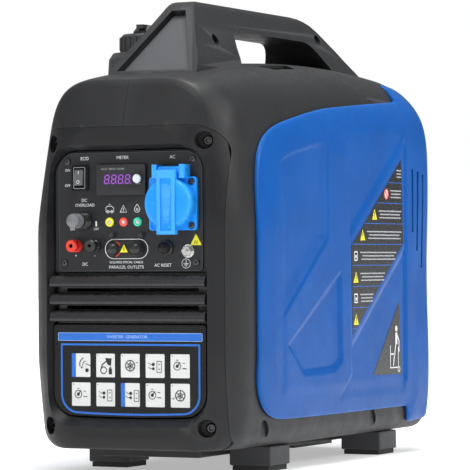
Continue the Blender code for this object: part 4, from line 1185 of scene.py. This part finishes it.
def outlet():
    x, z = SOCKET
    base = prism("socket_base_visual", rounded(0.0500, 0.0500, 0.003, 6), SOCKET_PLATE, at(x, FACE, z))
    join(base, rod("barrel", 0.0215, 0.038, at(x, 0.0335, z), 56))
    cut(base, rod("cup", 0.0190, 0.022, at(x, 0.0195, z), 56))
    join(base, blocks("ears",
                      [((0.0050, 0.0140, 0.0130), (x + s * 0.0143, 0.0077, z + 0.0300)) for s in (-1, 1)]))
    cut(base, blocks("pin_holes", [((0.0045, 0.02, 0.0045), (x + s * 0.0095, 0.035, z)) for s in (-1, 1)]),
        rod("ear_bore", 0.0015, 0.06, at(x, HINGE_DEPTH, HINGE_Z, RIGHT), 20))
    bm = bmesh.new()
    for sx, sz in ((-0.0195, -0.0205), (0.0195, -0.0205), (0.0195, 0.0205)):
        plug_into(bm, 0.0036, 0.006, -0.0014, at(x + sx, FACE - SOCKET_PLATE, z + sz), 24)
    cut(base, object_from("screw_seats", bm))
    soften(base, 0.0006, 3, 40)
    piece(base, AZURE, stands_for=("ac_socket_base",))
    for index, (sx, sz) in enumerate(((0.0195, -0.0205), (0.0195, 0.0205))):
        screw(f"screw_socket_{index + 1}", x + sx, FACE - SOCKET_PLATE + 0.0013, z + sz, 0.0033,
              mat=DARK_STEEL)

    lid = turned("socket_lid_visual",
                 [(0, 0.0130), (0.0200, 0.0130), (0.0228, 0.0121), (0.0242, 0.0102), (0.0245, 0.0080),
                                       (0.0245, 0), (0.0215, 0), (0.0215, 0.0085), (0, 0.0095)],
                                       at(x, 0.0107, z), 64)
    join(lid, block("band", (0.0190, 0.0060, 0.0600), (x, -0.0008, z + 0.0010)),
         rod("knuckle", 0.0040, 0.0220, at(x, HINGE_DEPTH, HINGE_Z, RIGHT), 32),
         block("strap", (0.0190, 0.0070, 0.0100), (x, 0.0022, z + 0.0270)))
    cut(lid, rod("lid_bore", 0.0015, 0.06, at(x, HINGE_DEPTH, HINGE_Z, RIGHT), 20),
        block("band_panel", (0.0118, 0.0020, 0.0490), (x, -0.0038, z - 0.0010)))
    join(lid, blocks("band_ribs", [((0.0056, 0.0010, 0.0009), (x, -0.0030, z + h)) for h in (-0.018, -0.013,
                                                                                             -0.003, 0.003,
                                                                                         0.013, 0.018)]))
    soften(lid, 0.0006, 3, 40)
    piece(lid, AZURE, "socket_lid", ("ac_socket_lid",))
    dress(STEEL, "ac_hinge_pin", bevel=0.0002)


# ---- Breaker, terminals and buttons ----

def breaker():
    place_at = at(BREAKER[0], FACE, BREAKER[1])
    ridges = []
    for k in range(4):
        h = 0.0086 - 0.0016 * k
        ridges += [(0.0072, h + 0.0010), (0.0078, h + 0.0005), (0.0072, h)]
    collar = turned("breaker_collar", [(0.0042, 0.0105), (0.0070, 0.0105)] + ridges + [
        (0.0084, 0.0030), (0.0088, 0.0024), (0.0088, 0), (0.0066, 0), (0.0066, -0.022), (0.0042, -0.022)],
        place_at, 40)
    piece(collar, JACK_BLACK, stands_for=("dc_breaker_body",))
    boot = turned("breaker_boot",
                  [(0, 0.0247), (0.0042, 0.0246), (0.0062, 0.0236), (0.0071, 0.0216), (0.0066, 0.0196),
                                   (0.0056, 0.0183), (0.0066, 0.0170), (0.0072, 0.0150), (0.0070, 0.0130),
                                   (0.0037, 0.0128),
                                   (0.0037, -0.018), (0, -0.018)], place_at, 40)
    piece(boot, BOOT, "dc_breaker_button", ("dc_breaker_button",))


def jacks():
    profile = [(0.0022, 0.0125), (0.0050, 0.0125), (0.0058, 0.0116), (0.0058, 0.0088), (0.0053, 0.0080),
               (0.0053, 0.0045),
               (0.0060, 0.0038), (0.0060, 0.0), (0.0044, 0.0), (0.0044, -0.020), (0.0022, -0.020)]
    for x, (name, mat, slot) in zip(JACK_X,
                                    (("red", RED, "red_plastic"), ("black", JACK_BLACK, "black_plastic"))):
        body = turned(f"jack_{name}", profile, at(x, FACE, JACK_Z), 36)
        piece(body, mat, stands_for=(f"dc_jack_{name}",))
        sleeve = turned(f"jack_sleeve_{name}",
                        [(0.0016, 0.0118), (0.00215, 0.0118), (0.00215, -0.018), (0.0016, -0.018)],
                        at(x, FACE, JACK_Z), 20)
        piece(sleeve, DARK_STEEL)


def parallel_outlets():
    middle = sum(PARALLEL_X) / 2
    flange = prism("parallel_flange", rounded(0.0385, 0.0140, 0.0069, 12), 0.0026,
                   at(middle, FACE, PARALLEL_Z))
    soften(flange, 0.0005, 2)
    piece(flange, JACK_BLACK, stands_for=("parallel_outlet_body",))
    cover = prism("parallel_caps", rounded(0.0290, 0.0050, 0.0010, 4), 0.0018,
                  at(middle, PLATE_DEPTH - 0.0032, PARALLEL_Z))
    for index, x in enumerate(PARALLEL_X):
        cap = turned(f"cap_{index}", [(0, 0.0072), (0.0024, 0.0070), (0.0050, 0.0054), (0.0066, 0.0024),
                                      (0.0068, 0), (0, 0)],
                     at(x, PLATE_DEPTH - 0.0032, PARALLEL_Z), 36)
        join(cover, cap)
    soften(cover, 0.0004, 2, 40)
    piece(cover, JACK_BLACK, stands_for=("parallel_outlet_cover",))
    drawn("parallel_ring", [line(arc(PARALLEL_X[0], PARALLEL_Z, 0.0074, 70, -70, 16), 0.0010)], RED,
          at(0, FACE - 0.0026, 0))
    sign = [(-0.0079, 0.2106), (0.0005, 0.2106), (-0.0037, 0.2180)]
    drawn("parallel_sign", [fill(sign)], INK_YELLOW, at(0, PLATE_DEPTH - 0.0050, 0), thickness=0.0003)
    drawn("parallel_bolt", [line([(-0.0036, 0.2158), (-0.0042, 0.2140), (-0.0032, 0.2136),
                                  (-0.0038, 0.2118)], 0.0007)],
          INK_BLACK, at(0, PLATE_DEPTH - 0.0053, 0))
    for index, (x, z) in enumerate(((-0.0176, 0.2271), (0.0134, 0.2268))):
        post = turned(f"post_{index + 1}",
                      [(0, 0.0062), (0.0016, 0.0060), (0.0024, 0.0050), (0.0024, 0), (0, 0)],
                      at(x, PLATE_DEPTH, z), 24)
        piece(post, JACK_BLACK)


def reset_and_ground():
    nut = turned("reset_nut",
                 [(0.0054, 0.0036), (0.0064, 0.0036), (0.0074, 0.0026), (0.0074, 0), (0.0054, 0),
                               (0.0054, -0.020), (0.0035, -0.020), (0.0035, 0.0036)],
                               at(RESET[0], FACE, RESET[1]), 40)
    piece(nut, JACK_BLACK, stands_for=("ac_reset_body",))
    dome = turned("reset_dome",
                  [(0, 0.0105), (0.0024, 0.0102), (0.0042, 0.0091), (0.0053, 0.0072), (0.0056, 0.0062),
                                 (0.0031, 0.0062), (0.0031, -0.018), (0, -0.018)],
                                 at(RESET[0], FACE, RESET[1]), 40)
    piece(dome, GLOSS_BLACK, "ac_reset_button", ("ac_reset_button",))
    dress(STEEL, "ground_terminal", bevel=0.0004)
    washer = turned("ground_washer", [(0.0030, 0.0008), (0.0063, 0.0008), (0.0063, 0.0), (0.0030, 0.0)],
                    at(GROUND[0], PLATE_DEPTH, GROUND[1]), 36)
    piece(washer, ZINC)


# ---- Louvre and instruction plate ----

BAR_HEIGHTS = (0.1836, 0.1666, 0.1506)


def louvre():
    item = block("louvre_visual", (0.1618, 0.0030, 0.0482), (0, 0.0205, 0.1672))
    cut(item, blocks("vents", [((0.140, 0.02, 0.0030), (0, 0.0205, z)) for z in (0.1751, 0.1586)]))
    for index, z in enumerate(BAR_HEIGHTS):
        section = [(0.0200, z + 0.0054), (0.0120, z + 0.0053), (0.0092, z + 0.0044), (0.0074, z + 0.0026),
                   (0.0064, z + 0.0002), (0.0060, z - 0.0022), (0.0063, z - 0.0040), (0.0074, z - 0.0052),
                   (0.0100, z - 0.0054), (0.0200, z - 0.0054)]
        join(item, side_prism(f"bar_{index}", section, 0.0826))
    soften(item, 0.0005, 2, 40)
    piece(item, LOUVRE, stands_for=("louvre_grille",))


CARD = (0.0200, 0.0223)
CARD_X = [-0.0516 + 0.0264 * k for k in range(5)]
CARD_Z = (0.1038, 0.0763)
CARD_FACE = 0.0120


def plug_icon(x, y):
    return [line([(x - 0.0070, y + 0.0030), (x - 0.0045, y + 0.0012), (x - 0.0030, y + 0.0014)]),
            fill(circle(x - 0.0018, y + 0.0014, 0.0016, 14)),
            line([(x - 0.0070, y - 0.0010), (x - 0.0050, y - 0.0024), (x - 0.0030, y - 0.0026)]),
            fill(circle(x - 0.0018, y - 0.0026, 0.0014, 14)),
            hoop(rounded(0.0054, 0.0110, 0.0006, 3, None, (x + 0.0044, y - 0.0008)),
                 rounded(0.0043, 0.0099, 0.0004, 3, None, (x + 0.0044, y - 0.0008))),
            bar(x + 0.0044, y + 0.0016, 0.0020, 0.0007), bar(x + 0.0044, y - 0.0030, 0.0020, 0.0007)]


def dial_icon(x, y, side):
    spokes = [line([(x + 0.0046 * math.cos(a), y + 0.0046 * math.sin(a)),
                    (x - 0.0046 * math.cos(a), y - 0.0046 * math.sin(a))],
                   0.0007) for a in (math.radians(25), math.radians(85), math.radians(145))]
    return spokes + [round_hoop(x, y, 0.0054, 0.0009), round_hoop(x, y, 0.0026, 0.0006),
                     bar(x + side * 0.0072, y - side * -0.0030, 0.0020, 0.0007)]


def knob_icon(x, y):
    return [round_hoop(x - 0.0030, y, 0.0040, 0.0007), fill(circle(x - 0.0030, y, 0.0016, 14)),
            line([(x - 0.0030, y), (x - 0.0002, y + 0.0036)], 0.0009),
            bar(x + 0.0040, y + 0.0028, 0.0022, 0.0007),
            bar(x + 0.0046, y - 0.0022, 0.0040, 0.0008), bar(x - 0.0030, y + 0.0056, 0.0022, 0.0006)]


def rope_icon(x, y):
    return [line(arc(x + 0.0026, y + 0.0010, 0.0062, 110, 200, 10), 0.0009),
            line(arc(x + 0.0036, y, 0.0040, 100, 190, 8), 0.0007),
            fill(circle(x + 0.0042, y - 0.0048, 0.0019, 14)),
            line([(x + 0.0030, y + 0.0016), (x + 0.0078, y - 0.0004)], 0.0008),
            fill(circle(x - 0.0014, y - 0.0022, 0.0010, 12))]


def fuel_icon(x, y):
    return [fill([(x - 0.0004, y + 0.0070), (x + 0.0066, y + 0.0066), (x + 0.0058, y - 0.0004),
                  (x + 0.0024, y + 0.0006)]),
            line([(x + 0.0010, y + 0.0040), (x - 0.0036, y + 0.0006), (x - 0.0044, y - 0.0030)], 0.0012),
            round_hoop(x - 0.0020, y - 0.0046, 0.0036, 0.0009), bar(x + 0.0052, y - 0.0056, 0.0034, 0.0056),
            bar(x + 0.0052, y - 0.0020, 0.0018, 0.0012)]


def instruction_plate():
    outline = long_outline(THROAT_HALF - 0.0004, 0.0570, 0.1424, 0.0030, 0.0212, 0.0020)
    item = front_prism("instruction_visual", outline, CARD_FACE, 0.0180)
    soften(item, 0.0006, 2, 40)
    piece(item, GLOSS_BLACK, stands_for=("instruction_plate",))
    front = at(0, CARD_FACE, 0)
    over = at(0, CARD_FACE - INK, 0)
    top = at(0, CARD_FACE - 2 * INK, 0)
    drawn("blue_band", [fill(rounded(0.1538, 0.0078, 0.0012, 4, None, (0.0006, 0.1308)))], INK_BLUE, front)
    drawn("blue_band_edge", [hoop(rounded(0.1538, 0.0078, 0.0012, 4, None, (0.0006, 0.1308)),
                                  rounded(0.1530, 0.0070, 0.0008, 4, None, (0.0006, 0.1308)))],
                                  INK_PALE_BLUE, over)
    word("word_band", "INVERTER  GENERATOR", 0.0040, -0.0020, 0.1308, CARD_FACE - INK, INK_PALE_BLUE)

    def shifted(points):
        return [(x + 0.0008, z) for x, z in points]

    frame_line = hoop(shifted(long_outline(0.0742, 0.0590, 0.1244, 0.0012, 0.0170, 0.0022)),
                      shifted(long_outline(0.0724, 0.0608, 0.1226, 0.0008, 0.0155, 0.0021)))
    cards, strips, icons = [], [], []
    pictures = {(0, 0): rope_icon, (1, 0): fuel_icon, (3, 0): plug_icon, (4, 0): knob_icon,
                (0, 1): knob_icon,
                (1, 1): plug_icon, (2, 1): plug_icon, (3, 1): knob_icon}
    for row, z in enumerate(CARD_Z):
        for column, x in enumerate(CARD_X):
            cards.append(fill(rounded(*CARD, 0.0010, 3, None, (x, z))))
            striped = (column, row) in ((0, 0), (2, 1))
            if striped:
                strips.append(bar(x - 0.0078, z, 0.0044, CARD[1]))
            else:
                icons.append(bar(x - 0.0083, z + 0.0094, 0.0007, 0.0011))
            if (column, row) in pictures:
                icons += pictures[(column, row)](x + (0.0022 if striped else 0.0), z)
            else:
                icons += dial_icon(x, z, 1 if row == 0 else -1)
    drawn("blue_strokes", [frame_line], INK_BLUE, front)
    drawn("card_faces", cards, CARD_WHITE, front)
    drawn("card_strips", strips, INK_BLUE, over)
    drawn("card_icons", icons, INK_BLACK, top)


control_plate()
panel_marks()
switch_and_meter()
outlet()
breaker()
jacks()
parallel_outlets()
reset_and_ground()
louvre()
instruction_plate()


# ---- Labels on the right cover ----

def cover_face(depths, heights):
    """Points of the right cover's face on arrays of depths and heights."""
    rise = relief(depths, heights)
    points = []
    for d_row, z_row, r_row in zip(depths, heights, rise):
        points.append([place(side_x(d, z, GAP) + r, d, z) for d, z, r in zip(d_row, z_row, r_row)])
    return points


def wrapped(name, corners, mat, lift=0.00025, across=20, down=20):
    """A thin label over the cover between four corners: upper front, upper rear, lower rear, lower front."""
    (a, b, c, d) = [np.array(p) for p in corners]
    u = np.linspace(0.0, 1.0, across + 1)[None, :, None]
    v = np.linspace(0.0, 1.0, down + 1)[:, None, None]
    grid = (a * (1 - u) + b * u) * (1 - v) + (d * (1 - u) + c * u) * v
    sections = []
    for row in cover_face(grid[:, :, 0], grid[:, :, 1]):
        outer = [p + Vector((lift, 0, 0)) for p in row]
        inner = [p - Vector((0.0002, 0, 0)) for p in reversed(row)]
        sections.append(outer + inner)
    return piece(loft(name, sections), mat)


def on_cover(depth, z, lift=0.0004):
    """Local x backwards along the cover, y up, z outwards."""
    reach = 0.004
    points = cover_face(np.array([[depth, depth - reach, depth + reach, depth, depth]]),
                        np.array([[z, z, z, z - reach, z + reach]]))[0]
    along = (points[2] - points[1]).normalized()
    out = along.cross(points[4] - points[3]).normalized()
    return axes_at(points[0] + out * lift, along, out.cross(along), out)


LABEL = ((0.2619, 0.2162), (0.3906, 0.3058), (0.3960, 0.2197), (0.2644, 0.1272))
ROW_PITCH = 0.0212


def label_span(z):
    """Front and rear end of a label row at a height."""
    front = 0.2640 + max(z - 0.2162, 0.0) * (0.1287 / 0.0896)
    rear = 0.2644 + (z - 0.1272) * (0.1316 / 0.0925)
    return front, min(rear, 0.3925)


def warning_label():
    wrapped("label_main", LABEL, LABEL_BLACK, across=36, down=24)
    for row in range(8):
        z = 0.2920 - ROW_PITCH * row
        front, rear = label_span(z)
        under = z - ROW_PITCH / 2
        low_front, low_rear = label_span(under)
        if low_rear - low_front > 0.006:
            wrapped(f"label_rule_{row + 1}", ((low_front, under + 0.0006), (low_rear, under + 0.0006),
                                              (low_rear, under), (low_front, under)), INK_BLUE, 0.00045, 20,
                                              1)
        middle = front + 0.0085
        if rear - front < 0.012:
            middle = (front + rear) / 2
        spot = on_cover(middle, z - 0.001)
        if row == 1:
            drawn(f"label_sign_{row + 1}", [fill(circle(0, 0, 0.0056, 24))], SIGN_PALE, spot)
            drawn(f"label_bar_{row + 1}", [line([(-0.0034, 0.0034), (0.0034, -0.0034)], 0.0014),
                                           round_hoop(0, 0, 0.0056, 0.0012)], RED,
                                           on_cover(middle, z - 0.001, 0.00055))
        elif row in (4, 6):
            drawn(f"label_sign_{row + 1}",
                  [hoop(rounded(0.0084, 0.0094, 0.0008, 3), rounded(0.0062, 0.0072, 0.0005, 3)),
                                            fill(circle(0, -0.0006, 0.0018, 12))], INK_WHITE, spot)
        elif row:
            drawn(f"label_sign_{row + 1}", [fill([(-0.0062, -0.0054), (0.0062, -0.0054), (0, 0.0056)])],
                  INK_YELLOW, spot)
            drawn(f"label_bar_{row + 1}", [bar(0, 0.0006, 0.0012, 0.0046), bar(0, -0.0034, 0.0012, 0.0013)],
                  INK_BLACK,
                  on_cover(middle, z - 0.001, 0.00055))
        left = middle + 0.0085 if row else front + 0.003
        if rear - left > 0.010:
            lines = [bar(0, h, (rear - left - 0.004) * w, 0.0013) for h,
                     w in ((0.0036, 1.0), (0.0002, 0.88), (-0.0032, 0.94))]
            drawn(f"label_text_{row + 1}", lines, INK_GREY, on_cover((left + rear) / 2, z - 0.001))


def lifting_label():
    wrapped("label_lifting", ((0.3866, 0.1574), (0.3884, 0.1574), (0.3933, 0.0835), (0.3199, 0.0852)),
            LABEL_BLACK,
            across=16, down=20)
    spot = on_cover(0.3765, 0.1010, 0.0005)
    marks = [fill(circle(0.0030, 0.0300, 0.0030, 16)), bar(0.0030, 0.0200, 0.0050, 0.0120),
             line([(0.0050, 0.0240), (0.0100, 0.0170), (0.0100, 0.0060)], 0.0018),
             bar(-0.0070, 0.0040, 0.0140, 0.0016),
             line([(-0.0130, 0.0130), (-0.0130, -0.0100), (0.0080, -0.0100), (0.0080, 0.0110)], 0.0016),
             line([(0.0015, 0.0140), (-0.0020, 0.0040), (-0.0050, -0.0080)], 0.0020),
             round_hoop(0.0096, -0.0120, 0.0030, 0.0010)]
    drawn("label_figure", marks, INK_WHITE, spot)


warning_label()
lifting_label()


# ---- Filler, feet and inner parts ----

CAP_RIB_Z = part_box("fuel_cap")[1].z - 0.0095
CAP_RIBS, CAP_RIB_REACH = 24, 0.0288


def filler():
    x, depth = FILLER
    dress(CHARCOAL, "fuel_filler_collar", "fuel_cap", "cap_vent_lever", bevel=0.0010)
    bm = bmesh.new()
    for k in range(CAP_RIBS):
        angle = 2 * math.pi * k / CAP_RIBS
        centre = (x + CAP_RIB_REACH * math.cos(angle), depth + CAP_RIB_REACH * math.sin(angle), CAP_RIB_Z)
        block_into(bm, (0.0022, 0.0028, 0.0130), centre, Matrix.Rotation(angle, 4, "Z"))
    ribs = object_from("cap_ribs", bm)
    soften(ribs, 0.0004, 2)
    piece(ribs, CHARCOAL, "fuel_cap")


filler()
CORNERS = [f"{end}_{side}" for end in ("front", "rear") for side in ("left", "right")]
dress(FOOT_GREY, *[f"foot_block_{corner}" for corner in CORNERS], bevel=0.0012)
dress(PAD, *[f"foot_pad_{corner}" for corner in CORNERS], bevel=0.0008)
dress(CHARCOAL, "base_tray", "starter_recess", "recoil_housing", "air_filter_box", "fuel_tank",
      bevel=0.0008)
dress(ROYAL, "maintenance_door", bevel=0.0010)
dress(GLOSS_BLACK, "engine_switch_knob", bevel=0.0005)
dress(RUBBER, "starter_handle", bevel=0.0012)
dress(CAST, "engine_block", "cylinder_head_cover", "carburetor", bevel=0.0008)
dress(DARK_CAST, "inverter_module", bevel=0.0008)
dress(STEEL, "crankshaft", "rotor", bevel=0.0005)
dress(COPPER, "stator", bevel=0.0005)
dress(BADGE_GREY, "cooling_fan", "recoil_pulley", bevel=0.0005)
dress(CERAMIC, "spark_plug", bevel=0.0004)
dress(HEATED, "muffler", bevel=0.0012)


# ---- Camera, light and floor ----

CAMERA_PLACE = (1.3297, -2.7227, 0.2009)


def set_camera():
    data = bpy.data.cameras.new("camera")
    data.lens = 229.8
    data.sensor_width = 36.0
    data.clip_start = 0.05
    data.clip_end = 60.0
    turn, pitch, roll = math.radians(26.0), math.radians(0.516), math.radians(0.327)
    look = Vector((-math.sin(turn) * math.cos(pitch), math.cos(turn) * math.cos(pitch), math.sin(pitch)))
    right = Vector((math.cos(turn), math.sin(turn), 0.0))
    up = right.cross(look)
    across = right * math.cos(roll) - up * math.sin(roll)
    over = up * math.cos(roll) + right * math.sin(roll)
    item = linked("camera", data)
    item.matrix_world = axes_at(CAMERA_PLACE, across, over, -look)
    bpy.context.scene.camera = item


def area_light(name, place_at, aim, size, power, colour=(1, 1, 1)):
    data = bpy.data.lights.new(name, "AREA")
    data.shape = "RECTANGLE"
    data.size, data.size_y = size
    data.energy = power
    data.color = colour
    item = linked(name, data)
    item.location = place_at
    item.rotation_euler = (Vector(aim) - Vector(place_at)).to_track_quat("-Z", "Y").to_euler()


def set_stage():
    bm = bmesh.new()
    for x, y in ((-12, -12), (12, -12), (12, 12), (-12, 12)):
        bm.verts.new((x, y, 0))
    bm.faces.new(bm.verts)
    floor = object_from("floor", bm)
    mat, tree, shader = tree_of("pale_floor")
    tone = ranged(tree, noise(tree, 3.0, 4.0), 0.3, 0.7, 0.0, 1.0)
    tree.links.new(mixed(tree, tone, (0.80, 0.80, 0.80), (0.84, 0.84, 0.84)), shader.inputs["Base Color"])
    shader.inputs["Roughness"].default_value = 0.9
    shader.inputs["Specular IOR Level"].default_value = 0.0
    coords = node(tree, "ShaderNodeTexCoord")
    far = node(tree, "ShaderNodeVectorMath", operation="LENGTH")
    tree.links.new(coords.outputs["Object"], far.inputs[0])
    glow = ranged(tree, far.outputs["Value"], 0.25, 1.1, 0.42, 1.0)
    shader.inputs["Emission Color"].default_value = (1.0, 1.0, 1.0, 1.0)
    tree.links.new(glow, shader.inputs["Emission Strength"])
    floor.data.materials.append(mat)
    world = bpy.data.worlds.new("studio")
    world.use_nodes = True
    sky = world.node_tree
    back = sky.nodes["Background"]
    coords = node(sky, "ShaderNodeTexCoord")
    split = node(sky, "ShaderNodeSeparateXYZ")
    sky.links.new(coords.outputs["Generated"], split.inputs["Vector"])
    sky.links.new(ranged(sky, split.outputs["Z"], -0.1, 1.0, 0.06, 0.66), back.inputs["Strength"])
    seen = node(sky, "ShaderNodeBackground", Color=(1.0, 1.0, 1.0, 1.0), Strength=1.0)
    path = node(sky, "ShaderNodeLightPath")
    blend = node(sky, "ShaderNodeMixShader")
    back.inputs["Color"].default_value = (0.96, 0.98, 1.0, 1.0)
    sky.links.new(path.outputs["Is Camera Ray"], blend.inputs["Fac"])
    sky.links.new(back.outputs["Background"], blend.inputs[1])
    sky.links.new(seen.outputs["Background"], blend.inputs[2])
    sky.links.new(blend.outputs["Shader"], sky.nodes["World Output"].inputs["Surface"])
    bpy.context.scene.world = world
    area_light("top_light", (0.25, -0.30, 1.9), (0.0, 0.0, 0.3), (1.0, 1.0), 36)
    area_light("front_light", (-0.5, -2.2, 1.1), (0.0, 0.0, 0.22), (1.0, 1.0), 6)
    area_light("side_light", (2.2, 0.3, 1.4), (0.0, 0.0, 0.22), (0.6, 0.6), 17)
    bpy.context.scene.view_settings.view_transform = "Standard"


set_camera()
set_stage()
